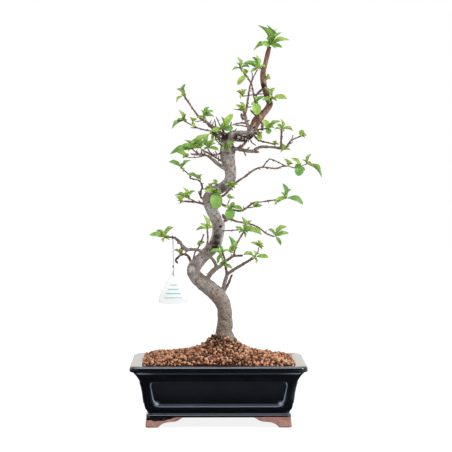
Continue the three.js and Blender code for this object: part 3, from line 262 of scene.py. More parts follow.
STUBS = [
    (1.2, 0.7, (-4, -9, 481), (-5, -11, 487), (-6, -12, 492)),
    (1.3, 1, (19, -6, 474), (20, -7, 481), (21, -8, 488)),
    (1.1, 0.8, (25, -9, 472), (29, -12, 477)), (2.4, 1.8, (-9, -9, 479), (-14, -13, 482), (-17, -14, 487)),
    (1.1, 0.8, (-14, -12, 485), (-12, -14, 490)), (1.2, 0.8, (-19, -13, 488), (-24, -14, 488)),
    (1, 0.7, (-10, -11, 481), (-8, -14, 488)), (1.6, 1.1, (5, -6, 468), (-2, -9, 466), (-7, -10, 468)),
    (1.4, 1, (4, -7, 463), (-3, -11, 460), (-5, -13, 463)),
    (1.2, 0.9, (6, -9, 471), (2, -14, 474), (3, -15, 478)),
    (1.5, 1, (8, -9, 459), (1, -13, 456)), (1.3, 0.9, (-22, -17, 436), (-24, -20, 442)),
    (1.4, 1, (-27, -18, 437), (-27, -21, 443)), (1.2, 0.8, (-4, -10, 430), (-3, -13, 437), (-5, -14, 441)),
    (1.3, 0.8, (-12, -13, 431), (-11, -17, 437)), (1.2, 0.8, (1, -6, 425), (0, -10, 433)),
    (1.2, 0.9, (-34, -23, 437), (-35, -26, 442)), (1.5, 1.1, (32, -16, 446), (36, -19, 451)),
    (1.3, 0.9, (40, -21, 443), (43, -23, 437), (44, -24, 434)), (1.4, 1, (24, -14, 447), (24, -18, 452)),
    (1.4, 1, (46, -24, 443), (50, -26, 447)), (2, 1.4, (41, -13, 492), (38, -14, 497), (38, -14, 501)),
    (1.6, 1.2, (45, -13, 488), (50, -15, 491)), (2, 1.5, (57, -2, 474), (60, -8, 470), (64, -11, 471)),
    (1.4, 1, (56, -6, 478), (60, -11, 481)), (1.3, 0.9, (46, -11, 462), (49, -14, 457)),
    (2.2, 1.8, (-64, -31, 292), (-65, -32, 296)), (2.4, 2, (-56, -30, 281), (-56, -30, 287)),
    (2, 1.6, (-57, -30, 283), (-60, -31, 287)), (1.4, 1, (-52, -29, 280), (-53, -30, 276)),
    (1.6, 1.2, (-68, -31, 298), (-69, -32, 302)),
]

# Short fruiting spurs on the branches: their spacing, lengths and radius, and the seed.
SPUR_SPACING = 26.0
SPUR_LENGTHS = (0.6, 2.2)
SPUR_RADIUS = 1.0
SPUR_SEED = 8

# Each spray of leaves, as its hub, then each leaf's tip from the hub, how far its face turns to the
# front in degrees, and its width as a share of its length where that isn't usual.
SPRAYS = {
    "left_tip": ((-87, -35, 302), (-24, -4, 4, 60), (14, 3, 17, 45), (-13, 8, 11, 20), (8, -9, -3, 60),
        (0, 6, -7, 20)),
    "left_curl": ((-62, 20, 272), (-11, 3, 7, 30), (-2, -6, 7, 60), (4, 6, 2, 30)),
    "leaning_bud": ((-31, -12, 288), (2, -5, 8, 60), (4, 5, 4, 30)),
    "upright_tip": ((-18, -26, 315), (-5, 2, 24, 40), (-11, -6, 10, 50), (-18, 2, -2, 20), (0, 7, 14, 60),
        (10, 1, 2, 25), (-8, -9, 2, 60)),
    "low_up": ((7, -2, 275), (-21, -6, 1, 40), (-8, 2, 15, 60), (0, -8, -10, 60), (11, 3, 5, 35),
        (-9, -3, -17, 60), (2, 10, 7, 10)),
    "inner_bend": ((21, -35, 277), (9, -3, 20, 75), (-4, 3, 27, 25), (-9, -7, 4, 50), (2, 7, 13, 30)),
    "bend_front": ((8, -31, 259), (15, -3, -7, 75), (-4, -2, 8, 50), (-7, -8, -3, 40), (6, -10, 5, 30)),
    "low_right_tip": ((59, -43, 271), (22, -3, -1, 70), (-19, 3, 4, 30), (2, -5, -11, 60), (-3, -9, 11, 40),
        (7, 10, 6, 30)),
    "low_right_rise": ((65, -41, 288), (-13, -3, 6, 60), (-2, 5, 9, 40), (8, 2, 3, 30), (5, -6, -6, 60)),
    "inner_bend_top": ((41, -30, 312), (-14, -4, 7, 75), (29, -3, -5, 50), (14, -9, 8, 60), (-3, 3, 23, 35),
        (13, 5, 17, 20), (3, -5, -10, 70), (-8, 6, -4, 50)),
    "right_node_tip": ((95, 40, 301), (-12, 3, 11, 45), (9, -4, -15, 80), (22, -3, 6, 60), (18, 6, 16, 15),
        (11, 9, 11, 40)),
    "middle_right_tip": ((108, -46, 366), (-16, -9, -3, 75), (-18, -8, -11, 55), (-5, 2, 23, 60),
        (28, -4, -11, 50), (9, 6, 14, 20), (-8, -8, 9, 60)),
    "middle_right_spur": ((58, -33, 351), (13, -2, 3, 70)),
    "middle_right_face": ((21, -24, 350), (-4, -5, -19, 85, 0.8), (19, -8, -4, 65), (4, -5, 9, 80, 0.7),
        (-11, -8, 0, 60)),
    "trunk_face": ((-5, -12, 375), (3, -10, -27, 88, 0.7), (-17, -7, 1, 60), (10, -11, -1, 50),
        (-4, -9, 6, 35)),
    "middle_right_rise": ((18, -18, 364), (1, -1, 9, 50), (-4, -4, 3, 50), (5, 3, 1, 50)),
    "long_right_low": ((23, -8, 384), (-12, -6, 4, 45), (-5, -5, 9, 40), (4, -6, -5, 70), (9, -6, 3, 40),
        (-2, -9, -4, 50)),
    "left_high_side": ((-12, 11, 379), (-9, 3, 2, 40), (3, 2, 11, 50), (-5, -4, 8, 40)),
    "shoulder_bud": ((-4, -1, 386), (4, 1, 7, 55), (-7, 8, 1, 30)),
    "left_high_tip": ((-60, 30, 414), (-21, -3, 10, 60), (14, 2, 14, 40), (2, -6, -8, 60), (-7, 9, 7, 20)),
    "left_high_mid": ((-32, 17, 396), (-19, -3, 7, 45), (6, 4, 8, 50), (5, -7, -2, 50)),
    "left_low_fork": ((-49, -21, 366), (-7, 0, 17, 50), (-22, 0, 5, 30), (11, 3, 11, 25), (4, -8, -2, 60),
        (-7, -8, 6, 50)),
    "left_low_tip": ((-61, -26, 360), (-6, -2, 1, 60), (-2, 2, 9, 50), (5, -5, -3, 60)),
    "long_right_tip": ((147, 49, 421), (27, -3, -20, 40, 0.2), (8, 3, 16, 50), (2, -6, 10, 50),
        (-6, 8, 6, 30)),
    "long_right_face": ((137, 46, 418), (-5, -6, -17, 86, 0.8), (-15, -2, 13, 65), (5, 6, -10, 60)),
    "long_right_side": ((117, 41, 418), (-8, -2, 12, 45), (0, 4, 8, 50), (8, -5, 3, 60)),
    "rising_tip": ((-56, -23, 531), (3, -1, 19, 50), (-13, -2, -10, 35), (-11, 4, 11, 20), (5, -7, 1, 50)),
    "crown_left_tip": ((-57, 26, 492), (-7, 1, 18, 50), (-20, -3, -12, 30), (4, -5, 11, 75),
        (6, -6, -3, 60)),
    "crown_left_face": ((-42, 20, 488), (2, -6, -7, 85, 0.8), (-5, -1, 9, 60), (7, 3, 6, 40)),
    "crown_rising_face": ((-24, -16, 497), (9, -1, 16, 60), (17, -3, 9, 50), (17, 3, 0, 50),
        (-4, 3, 11, 30), (-11, -5, -2, 60), (2, -9, -6, 60)),
    "knot_face": ((8, -12, 477), (15, -4, 25, 75, 0.37), (-21, -5, -4, 75), (16, -3, 2, 80, 0.6),
        (-3, 4, 20, 30), (2, -9, 11, 40)),
    "knot_left": ((-6, 3, 470), (-3, -3, 6, 50), (1, -4, -12, 60), (-5, -3, -5, 60), (6, -8, -6, 60),
        (-9, -5, -2, 50), (4, -5, 4, 50), (8, -6, -14, 60), (-3, -7, -14, 55)),
    "collar_face": ((11, -14, 447), (16, -3, 9, 65), (-9, -2, 7, 50), (-3, -7, -6, 60), (9, -4, -5, 50)),
    "collar_left": ((-17, -19, 446), (18, -4, -4, 65), (-6, 1, 11, 50), (2, 3, 24, 40), (7, -7, 10, 60),
        (-8, -8, -4, 60), (-12, -4, 12, 60), (10, -6, 15, 65), (13, 4, 8, 40), (-3, -9, 13, 70)),
    "shoulder_left_face": ((-41, -28, 445), (25, -3, 25, 65, 0.3), (-13, 4, 16, 20),
        (-37, -4, -7, 65, 0.27), (12, -8, 6, 70), (-4, -3, 12, 40), (-9, 8, -4, 40), (4, -6, 17, 60),
        (18, -5, 10, 60), (-18, -6, 6, 60)),
    "shoulder_left_upper_tip": ((-29, 15, 446), (-4, 3, 11, 40), (-12, 4, 1, 50), (6, 7, 7, 50)),
    "shoulder_left_low": ((-50, -26, 432), (-19, -3, 11, 60, 0.4), (-7, 4, -3, 40)),
    "second_leader_face": ((41, -15, 507), (-13, -4, 9, 65), (-6, -3, 14, 50), (5, -7, -4, 60),
        (2, 4, 10, 30)),
    "leader_thin_tip": ((39, -14, 531), (-10, 1, 8, 50), (7, 2, 10, 25), (-3, -6, -6, 50)),
    "crossing_face": ((61, -9, 521), (2, -4, -21, 88, 0.68), (14, -4, 9, 65), (-4, -5, 10, 45),
        (-8, -5, -5, 60)),
    "bridge_face": ((81, -22, 478), (0, -6, -9, 85, 0.9), (-8, -3, 14, 75, 0.6), (19, -3, 13, 50),
        (10, 6, 1, 40)),
    "bridge_low": ((65, -13, 468), (3, -5, -9, 80, 0.8), (-4, -4, 6, 50), (7, 4, 2, 50)),
    "riser_tip": ((102, -31, 476), (18, 2, -1, 30), (-13, -2, 1, 20), (0, 2, 18, 35), (4, -6, -5, 60),
        (6, -6, 8, 50)),
    "bridge_right_tip": ((92, -26, 452), (0, -5, -6, 75), (3, 1, 6, 50), (6, -4, -1, 50), (-5, -2, 5, 50)),
    "collar_right_low": ((105, -36, 443), (11, -2, 0, 60), (-5, -4, -5, 60), (2, -8, 5, 40)),
    "collar_right_tip": ((134, -44, 465), (-5, 1, 6, 50), (5, -3, -4, 60), (4, 5, 2, 50)),
    "apex": ((85, 6, 614), (-16, 4, 35, 20, 0.14), (-5, -4, 29, 60, 0.3), (-1, 8, 34, 20, 0.14),
        (8, 5, 28, 35, 0.2), (17, -4, 22, 60, 0.26), (31, -4, 10, 60, 0.24), (-15, -10, 3, 75, 0.5),
        (-28, 2, -5, 20, 0.2), (19, -6, -4, 75), (8, -10, -6, 60), (-6, -9, -5, 60), (4, -9, 19, 50, 0.3),
        (-6, 12, 12, 30), (12, 13, 9, 30)),
    "crossing_tip": ((36, -9, 576), (-4, 1, 19, 50), (-14, -2, -3, 40), (15, 2, 2, 25), (-6, -5, 9, 50),
        (4, -6, -4, 60), (3, 6, 10, 40)),
    "second_leader_tip": ((63, -15, 575), (0, 1, 22, 50), (-7, 5, 19, 20), (-23, -2, 8, 30),
        (-11, -6, -6, 75), (14, 1, 3, 40), (5, -6, -4, 60), (-10, -6, 12, 60)),
    "crossing_side": ((45, -9, 565), (-14, -4, -16, 80, 0.4), (5, -5, 6, 50), (-3, 4, 6, 40)),
    "leader_right": ((80, -3, 558), (6, 1, 0, 30), (0, -1, 8, 50)),
    "leader_face": ((87, -3, 527), (-11, -5, 19, 55, 0.3), (-16, -7, -3, 75), (25, -4, -1, 65),
        (6, 4, 18, 40), (-4, -7, -9, 65), (8, -8, -5, 60)),
}

# A leaf's usual width as a share of its length, and the least width.
BLADE_SHARE = 0.36
LEAST_BLADE = 2.4

# Each bud's turn from the last along a twig, in radians, and the seed of the granules' tints.
GOLDEN_ANGLE = 2.39996
TINT_SEED = 77

# Cloud scrolls on the feet, as [past the foot's outer end, height, radius, pitch], and runs of glaze over
# the front left foot, as [across, lowest height, half width].
SCROLLS = [(15.5, 8, 6.2, 3.2), (29.5, 10, 4.2, 2.6)]
SCROLL_HEIGHT = 0.9
GLAZE_RUNS = [(-112, 12, 7), (-101, 10.4, 7), (-90, 10.8, 7), (-80, 13.4, 6), (-71, 16, 6)]
RUN_DEPTH = 1.6

# The soil's bed lies this far under the granules' surface, which banks up against the pot's wall. No
# granule lies under the trunk, crumbs of bark lie in a heap in front of it, and granules heave up and down.
BED_DEPTH = 3.6
BANK_HEIGHT = 1.8
BANK_REACH = 3
TRUNK_CLEARING = (17, 19)
CRUMB_HEAP = (-2, -17)
HEAP_REACH = (12, 30)
HEAVE = (-2.2, 1.3)

# Places on the bark: ringed knots, as [place, reach], and patches, as [place, reach, height, paleness,
# darkness, roughness]. The darkness is partly the bark's own darker colour and partly painted shade, in the
# hollows, on the trunk's underside and left side, and down the leader's left edge.
KNOTS = [((-0.5, -18, 217), 4.4), ((-6.5, -17, 211), 3.8), ((-33, -14, 233), 3.4), ((15, -14, 150), 3.6)]
PATCHES = [
    ((-44, -9, 250), 6, 0.3, 1.0, 0, 0), ((7.6, -2.4, 315.5), 3, 0.9, 1.9, 0, 0),
    ((3.2, -4.8, 318.5), 2.8, -1.4, 0, 1.6, 0), ((-5, -3, 282), 8, -1.2, 0, 1.5, 0.1),
    ((-3, -3, 291), 8, -0.4, 0, 1.25, 0.1), ((-2, -4, 301), 8.5, 0, 0, 0.95, 0.1),
    ((-3, -5, 311), 8, 0, 0, 0.6, 0.1), ((-13, 0, 291), 7, 0, 0, 0.8, 0.1),
    ((-12, -2, 280), 6, 0, 0, 0.8, 0.1), ((15, -4, 299), 6, 0, 0.4, 0, 0.2),
    ((10, -11, 465), 6.5, -2.4, 0, 2.2, 0), ((13, -10, 465), 1.8, 0.8, 2.4, 0, 0),
    ((0, -8, 457), 6, 1.8, 0, 1.0, 1.2), ((22, -10, 468), 6, 1.8, 0.7, 0, 0.4),
    ((26, -7, 443), 6, 1.2, 0, 1.1, 0.6), ((16, -13, 438), 4, -0.9, 0, 0.8, 0.3),
    ((24, -9, 437), 4, -0.9, 0, 0.9, 0.3), ((8, -11, 438), 4, -0.9, 0, 0.7, 0.3),
    ((14, -12, 451), 7, 1.2, 0, 0.8, 1.2),
    ((31, -15, 463), 8, 0.8, 0, 1.5, 2.0), ((42, -15, 463), 8, 0.8, 0, 1.5, 2.0),
    ((52, -11, 465), 6, 1.0, 0, 1.4, 1.6),
    ((38, -9, 477), 4, 0.4, 0.5, 0, 0.8), ((57, -5, 481), 6, 0.6, 0.35, 0, 0.4),
    ((62, -4, 488), 6, 0.4, 0.4, 0, 0.2), ((69, -2, 497), 7, 0.3, 0.5, 0, 0.2),
    ((76, 0, 506), 6, 0.3, 0.35, 0, 0.2), ((85, 1, 518), 4.5, 0.8, 0, 0.9, 0.5),
    ((73, -4, 548), 5, 1.4, 0, 1.5, 0.6), ((73, -3, 568), 4, 0.6, 0, 0.6, 0.4),
    ((77, -1, 585), 4, 0.5, 0, 0.5, 0.4), ((76, -2, 534), 4.5, 0.6, 0, 0.6, 0.5),
    ((80, 0, 600), 3.5, 0.4, 0, 0.5, 0.3), ((70, 0, 560), 5, 0, 0, 0.35, 0.3),
    ((10, -17, 130), 12, 0.8, 0, 0.4, 1.2), ((-5, -10, 361), 6, 0.6, 0, 0.6, 0.8),
    ((6, -5, 381), 8, 0, 0, 1.0, 0.2),
    ((14, -2, 388), 6, 0, 0, 0.6, 0.2), ((12, -14, 187), 6, 0, 0.35, 0, 0.2),
    ((-17, -13, 345), 9, 0, 0.5, 0, 0.2),
    ((-3, -9, 375), 8, 0, 0, 1.1, 0.2), ((-14, -8, 336), 7, 0, 0.4, 0, 0.2),
    ((-1, -8, 150), 10, 0, 0, 0.5, 0.3), ((2, -12, 178), 9, 0, 0, 0.5, 0.2),
    ((4, -15, 197), 7, 0, 0, 0.45, 0.3), ((22, -10, 170), 9, 0, 0.4, 0, 0.2),
    ((5, -4, 408), 7, 0, 0, 0.45, 0.3), ((3, -6, 424), 7, 0.3, 0, 0.6, 0.6),
]
for patch, places in {
        (2.6, -0.5, 0, 0.9, 0): ((5, -14, 171), (9, -15, 168), (13, -15, 166), (17, -14, 167),
                                 (20, -11, 170)),
        (2.6, -0.4, 0, 0.8, 0): ((3, -12, 159), (8, -14, 157)),
        (2.4, -0.4, 0, 0.8, 0): ((-47, -8, 241), (-42, -11, 240)),
        (2.4, -0.4, 0, 0.7, 0): ((-37, -13, 242),)}.items():
    PATCHES += [(place, *patch) for place in places]

# Leaves: veins to each side, bud scales at each hub, the longest half-open leaf, and the seed.
VEINS = 7.0
SCALES = 3
SHORT_BLADE = 10.5
LEAF_SEED = 21

# The label and its string.
TAG_TOP = (-73, -33, 245)
TAG_WIDTH = 49
TAG_HEIGHT = 51
TAG_THICKNESS = 1.2
TAG_CORNER = 9
TAG_HOLE_RADIUS = 2.2
TAG_HOLE_DROP = 5.5
TAG_BEND = 0.7

# The label's ruled lines, down from its top corner: how many, their heights and width, how fast the room
# for them grows downwards, and the margin.
RULES = 4
RULE_FIRST = 20
RULE_LAST = 41
RULE_WIDTH = 0.9
RULE_SPREAD = 0.42
RULE_MARGIN = 2.5

STRING_DIAMETER = 1
STRING_KNOT = (-73, -33.4, 254.5)
STRING_ROUTE = [
    (-75, -31.6, 299.1), (-74.9, -29.7, 300.4), (-74.7, -29.2, 302.4), (-74.5, -30.2, 304.2),
    (-74.3, -32.2, 304.8), (-74, -34.2, 304), (-73.8, -35.1, 302.2), (-73.6, -34.8, 300.1),
    (-73.4, -33.8, 297.8), (-73.3, -33.2, 294), (-73.2, -33, 288), (-73.2, -33, 281), (-73.1, -33, 274),
    (-73, -33.1, 267), (-73, -33.5, 260), (-73, -34.4, 254), (-73, -35.2, 249), (-73, -35.4, 245),
    (-73, -35.2, 241.5), (-73, -34.2, 239.6), (-73, -32.8, 239.2), (-73, -31.4, 240), (-73, -30.7, 242.5),
    (-73, -30.6, 246), (-73, -31, 250),
]

# The camera, from the photograph: its place, turn and lens. The floor is far wider than the view, in metres.
FLOOR_RADIUS = 6.0
CAMERA_PLACE = (-20, -2832, 421.5)
CAMERA_YAW = 0.66
CAMERA_PITCH = -2.07
CAMERA_LENS = 138.2
SENSOR_WIDTH = 36

# The stage, in metres: the floor just under the pot, and the lamps' colour and the height they point at.
FLOOR_LEVEL = -0.0005
LAMP_COLOUR = (0.93, 0.965, 1.0)
LAMP_AIM = 0.3


def linear(hex_colour):
    """An sRGB hex colour as linear red, green and blue."""
    parts = [int(hex_colour[i:i + 2], 16) / 255 for i in (1, 3, 5)]
    return [c / 12.92 if c <= 0.04045 else ((c + 0.055) / 1.055) ** 2.4 for c in parts]


def rgba(colour):
    """A hex colour or a linear one with full opacity."""
    return (*(linear(colour) if isinstance(colour, str) else colour), 1.0)[:4]


def to_frame(points):
    """Millimetres from the pot's middle as metres of the frame."""
    return np.asarray(points, float) * MM + MIDDLE


def tone(name, description, hex_colour):
    """A colour that a user can change, shown as it looks."""
    return FloatVectorProperty(
        name=name, description=description, subtype="COLOR", size=3, min=0, max=1, default=linear(hex_colour))


def length(name, description, millimetres):
    """A length that a user can change, in millimetres here and in metres where it is kept."""
    return FloatProperty(name=name, description=description, unit="LENGTH", subtype="DISTANCE", min=0,
                         default=millimetres * MM)


def amount(name, description, default, kind=FloatProperty, **limits):
    """A plain number that a user can change."""
    return kind(name=name, description=description, default=default, **{"min": 0, **limits})


class PotSettings(bpy.types.PropertyGroup):
    bead_width: length("Bead width", "Width of the raised bead round each panel", 3.5)
    bead_height: length("Bead height", "How far the bead stands out from the wall", 1.9)
    groove_depth: length("Groove depth", "Depth of the groove round each bead", 0.8)
    panel_depth: length("Panel depth", "How far each panel lies behind the wall", 1.1)
    glaze: tone("Glaze", "Colour of the glaze where it is thick", "#0e1013")
    thin_glaze: tone("Thin glaze", "Colour where the glaze is thin, on edges", "#1f1c22")
    # A blue-white painted into the glaze where highlights fall on the beads, under the lip and on the panels.
    milky: tone("Milky glaze", "Colour where the glaze pooled beside the beads", "#98a3b6")
    clay: tone("Bare clay", "Colour of the unglazed feet", "#b58576")


class WoodSettings(bpy.types.PropertyGroup):
    voxel: length("Voxel", "Size of the cells that the trunk is skinned with", 0.93)
    relief: length("Relief", "Height of the bark's bumps and flakes", 0.55)
    old_bark: tone("Old bark", "Main colour of the trunk's bark", "#948c89")
    pale_bark: tone("Pale bark", "Colour of the bark's worn, pale areas", "#beb6b3")
    dark_bark: tone("Dark bark", "Colour of cracks and shaded flakes", "#4a3a2f")
    young_bark: tone("Young bark", "Colour of twigs", "#5c433a")
    warm_bark: tone("Warm bark", "Colour of the leader's reddish bark", "#70473d")


class LeafSettings(bpy.types.PropertyGroup):
    thickness: amount("Thickness", "Leaf thickness as a share of its length", 0.02, min=0.005, max=0.1)
    inner_leaves: amount(
        "Inner leaves", "Small young leaves at the heart of each spray", 4, IntProperty, max=8)
    fresh: tone("Fresh green", "Main colour of the leaves", "#74b047")
    deep: tone("Deep green", "Colour of the darkest leaves", "#548f3a")
    # The youngest leaves' own yellow-green, made lighter as painted light shining through them.
    golden: tone("Golden green", "Colour of the youngest leaves", "#bac75a")


class SoilSettings(bpy.types.PropertyGroup):
    spacing: length("Spacing", "Least distance between granules of the top layer", 4.1)
    granule: length("Granule", "Width of a usual granule", 6.3)
    seed: amount("Seed", "Seed of the granules' places", 5, IntProperty)
    orange: tone("Orange clay", "Colour of most granules", "#dc9d77")
    brown: tone("Brown clay", "Colour of the darker granules", "#63392a")
    pale: tone("Pale clay", "Colour of the palest granules", "#dcb898")


class LabelSettings(bpy.types.PropertyGroup):
    edge_radius: length("Edge radius", "Rounding of the label's edges", 0.3)
    plastic: tone("Plastic", "Colour of the label", "#f4f3f0")
    ink: tone("Ink", "Colour of the ruled lines", "#3fb9b6")
    thread: tone("Thread", "Colour of the string", "#0d0c0e")


class StageSettings(bpy.types.PropertyGroup):
    ambient: amount("Ambient", "Brightness of the even light from the room in front", 0.27)
    backdrop: amount("Backdrop", "Brightness of the white wall behind, as it lights the tree", 0.95)
    key: amount("Key", "Power of the strip light overhead, in watts", 20)
    floor: tone("Floor", "Colour of the floor", "#f6f6f6")


SETTINGS = {"bonsai_pot": PotSettings, "bonsai_wood": WoodSettings, "bonsai_leaf": LeafSettings,
            "bonsai_soil": SoilSettings, "bonsai_label": LabelSettings, "bonsai_stage": StageSettings}

# Settings of a node that steps smoothly over a range.
SMOOTH = {"interpolation_type": "SMOOTHSTEP"}


def add(tree, kind, *inputs, **more):
    """Adds a node and gives its outputs.

    Inputs go by their order among those in use, or by name with a capital; settings have no capital. Each
    input is a value, an output, a node's outputs, of which the first in use is taken, or a list of these.
    """
    node = tree.nodes.new(kind)
    for name, value in more.items():
        if name.islower():
            setattr(node, name, value)
    pairs = list(zip([socket for socket in node.inputs if socket.enabled], inputs))
    pairs += [(node.inputs[name.replace("_", " ")], value) for name, value in more.items()
              if not name.islower()]
    for socket, values in pairs:
        for value in values if isinstance(values, list) else [values]:
            if isinstance(value, bpy.types.bpy_prop_collection):
                value = next(output for output in value if output.enabled)
            if isinstance(value, bpy.types.NodeSocket):
                tree.links.new(value, socket)
            else:
                socket.default_value = rgba(value) if socket.type == "RGBA" else value
    return node.outputs


def new_material(name, values=(), noises=()):
    """An empty material, what adds nodes to it, its coordinates, and the outputs of what it reads: values
    stored on the mesh, by their names, and noises, by their scale and detail."""
    material = bpy.data.materials.new(name)
    material.use_nodes = True
    material.node_tree.nodes.clear()
    node = partial(add, material.node_tree)
    place = node("ShaderNodeTexCoord")["Object"]
    return (material, node, place,
            *(node("ShaderNodeAttribute", attribute_name=value)["Fac"] for value in values),
            *(node("ShaderNodeTexNoise", Vector=place, Scale=scale, Detail=detail, Roughness=0.6)
              for scale, detail in noises))


def coats(node, ground, *rows):
    """A ground colour under coats of other colours.

    Each coat has its colour and its share, or a pattern and the range over which it steps from a first
    share to a second, usually from none to all.
    """
    for colour, share, *ramp in rows:
        if ramp:
            share = node("ShaderNodeMapRange", share, *ramp, **SMOOTH)
        ground = node("ShaderNodeMix", share, ground, colour, data_type="RGBA")
    return ground


def shade(node, bump=None, **inputs):
    """Ends a material in a Principled shader, over a bump given as strength, distance and height."""
    if bump:
        inputs["Normal"] = node("ShaderNodeBump", **dict(zip(("Strength", "Distance", "Height"), bump)))
    node("ShaderNodeOutputMaterial", Surface=node("ShaderNodeBsdfPrincipled", **inputs))


def start_tree(name, *sockets):
    """What adds nodes to a new Geometry Nodes tree with these named inputs and a Material, and its inputs."""
    tree = bpy.data.node_groups.new(name, "GeometryNodeTree")
    geometry = ("Geometry", "Geometry", None)
    for way, rows in (("INPUT", (geometry, *sockets, ("Material", "Material", None))),
                      ("OUTPUT", (geometry,))):
        for title, kind, default in rows:
            socket = tree.interface.new_socket(title, in_out=way, socket_type="NodeSocket" + kind)
            if default is not None:
                socket.default_value = default
    return partial(add, tree), tree.nodes.new("NodeGroupInput").outputs


def end_tree(node, inlet, geometry, *steps):
    """The tree, closed with more steps on its geometry and its Material input."""
    for step in steps:
        geometry = node("GeometryNode" + step, geometry)
    done = node("GeometryNodeSetMaterial", geometry, Material=inlet["Material"])
    node("NodeGroupOutput", done)
    return node.args[0]


def even_curves(node, lines, step):
    """Smooth curves along lines of edges, with points at even steps."""
    curves = node("GeometryNodeMeshToCurve", lines)
    smooth = node("GeometryNodeCurveSplineType", curves, spline_type="CATMULL_ROM")
    return node("GeometryNodeResampleCurve", smooth, Length=step, mode="LENGTH")


def limb_tree():
    """Geometry Nodes: a round limb along each line of edges, knuckled at its nodes, with closed ends."""
    node, inlet = start_tree(
        "Limbs", ("Sides", "Int", 12), ("Step", "Float", 1.5 * MM), ("Knuckle Spacing", "Float", 9 * MM),
        ("Knuckle", "Float", 0.0), ("Unevenness", "Float", 0.1))
    reach = node("GeometryNodeInputNamedAttribute", Name="reach", data_type="FLOAT")
    bumps = node("ShaderNodeTexNoise", node("GeometryNodeInputPosition"), Scale=90.0, Detail=2.0)
    swing = node("ShaderNodeMath", bumps, 0.5, operation="SUBTRACT")
    swell = node("ShaderNodeMath", swing, inlet["Unevenness"], operation="MULTIPLY")
    slim = node("ShaderNodeMapRange", reach, 2.5 * MM, 4.5 * MM, 1.0, 0.0, **SMOOTH)
    radius = node("GeometryNodeSplineParameter")["Length"]
    for operation, *other in (
            ("DIVIDE", inlet["Knuckle Spacing"]), ("ADD", bumps), ("MULTIPLY", math.pi), ("SINE",),
            ("ABSOLUTE",), ("POWER", 12.0), ("MULTIPLY", slim), ("MULTIPLY", inlet["Knuckle"]),
            ("ADD", swell), ("ADD", 1.0), ("MULTIPLY", reach)):
        radius = node("ShaderNodeMath", radius, *other, operation=operation)
    ring = node("GeometryNodeCurvePrimitiveCircle", Resolution=inlet["Sides"], Radius=1.0)
    skin = node("GeometryNodeCurveToMesh", even_curves(node, inlet, inlet["Step"]), Profile_Curve=ring,
                Scale=radius, Fill_Caps=True)
    return end_tree(node, inlet, skin, "SetShadeSmooth")


def relief_tree():
    """Geometry Nodes: bark relief, pushed out along the surface by three sizes of noise."""
    node, inlet = start_tree("Bark relief", ("Relief", "Float", 0.5 * MM))
    place = node("GeometryNodeInputPosition")
    parts = []
    for squeeze, scale, detail, share in (
            ((1.0, 1.0, 0.35), 120.0, 2.0, 3.0), ((0.45, 0.45, 1.7), 330.0, 3.0, 0.6),
            ((1.0, 1.0, 1.0), 620.0, 2.0, 0.6)):
        squeezed = node("ShaderNodeVectorMath", place, squeeze, operation="MULTIPLY")
        noise = node("ShaderNodeTexNoise", squeezed, Scale=scale, Detail=detail)
        swing = node("ShaderNodeMath", noise, 0.5, operation="SUBTRACT")
        parts.append(node("ShaderNodeMath", swing, share, operation="MULTIPLY"))
    rough = node("GeometryNodeInputNamedAttribute", Name="rough", data_type="FLOAT")
    boost = node("ShaderNodeMath", rough, 1.0, operation="ADD")
    depth = parts[0]
    for operation, other in (("ADD", parts[1]), ("ADD", parts[2]), ("MULTIPLY", boost),
                             ("MULTIPLY", inlet["Relief"])):
        depth = node("ShaderNodeMath", depth, other, operation=operation)
    push = node("ShaderNodeVectorMath", node("GeometryNodeInputNormal"), depth, operation="SCALE")
    moved = node("GeometryNodeSetPosition", inlet, Offset=push)
    return end_tree(node, inlet, moved, "SetShadeSmooth")


def bud_tree():
    """Geometry Nodes: small buds along each line of edges, each a golden angle on from the last."""
    node, inlet = start_tree(
        "Buds", ("Spacing", "Float", 11 * MM), ("Bud Size", "Float", 1.35 * MM), ("Seed", "Int", 3))
    points = even_curves(node, inlet, inlet["Spacing"])
    tangent = node("GeometryNodeInputTangent")
    turn = node("ShaderNodeMath", node("GeometryNodeInputIndex"), GOLDEN_ANGLE, operation="MULTIPLY")
    level = node("ShaderNodeVectorMath", tangent, (0.31, 0.87, 0.38), operation="CROSS_PRODUCT")
    out = node("ShaderNodeVectorRotate", level, Axis=tangent, Angle=turn, rotation_type="AXIS_ANGLE")
    lean = node("ShaderNodeVectorMath", tangent, 1.1, operation="SCALE")
    aim = node("ShaderNodeVectorMath", out, lean, operation="ADD")
    rotation = node("FunctionNodeAlignRotationToVector", Vector=aim, axis="Z")
    reach = node("GeometryNodeInputNamedAttribute", Name="reach", data_type="FLOAT")
    unit = node("ShaderNodeVectorMath", out, operation="NORMALIZE")
    shift = node("ShaderNodeVectorMath", unit, reach, operation="SCALE")
    seated = node("GeometryNodeSetPosition", points, Offset=shift)
    size = node("FunctionNodeRandomValue", 0.55, 1.15, Seed=inlet["Seed"], data_type="FLOAT")
    scale = node("ShaderNodeMath", size, inlet["Bud Size"], operation="MULTIPLY")
    ball = node("GeometryNodeMeshUVSphere", Radius=1.0, Segments=6, Rings=5)
    drop = node("GeometryNodeTransform", ball, Translation=(0, 0, 0.5), Scale=(0.42, 0.42, 0.9))
    buds = node("GeometryNodeInstanceOnPoints", seated, Instance=drop, Rotation=rotation, Scale=scale)
    return end_tree(node, inlet, buds, "RealizeInstances", "SetShadeSmooth")


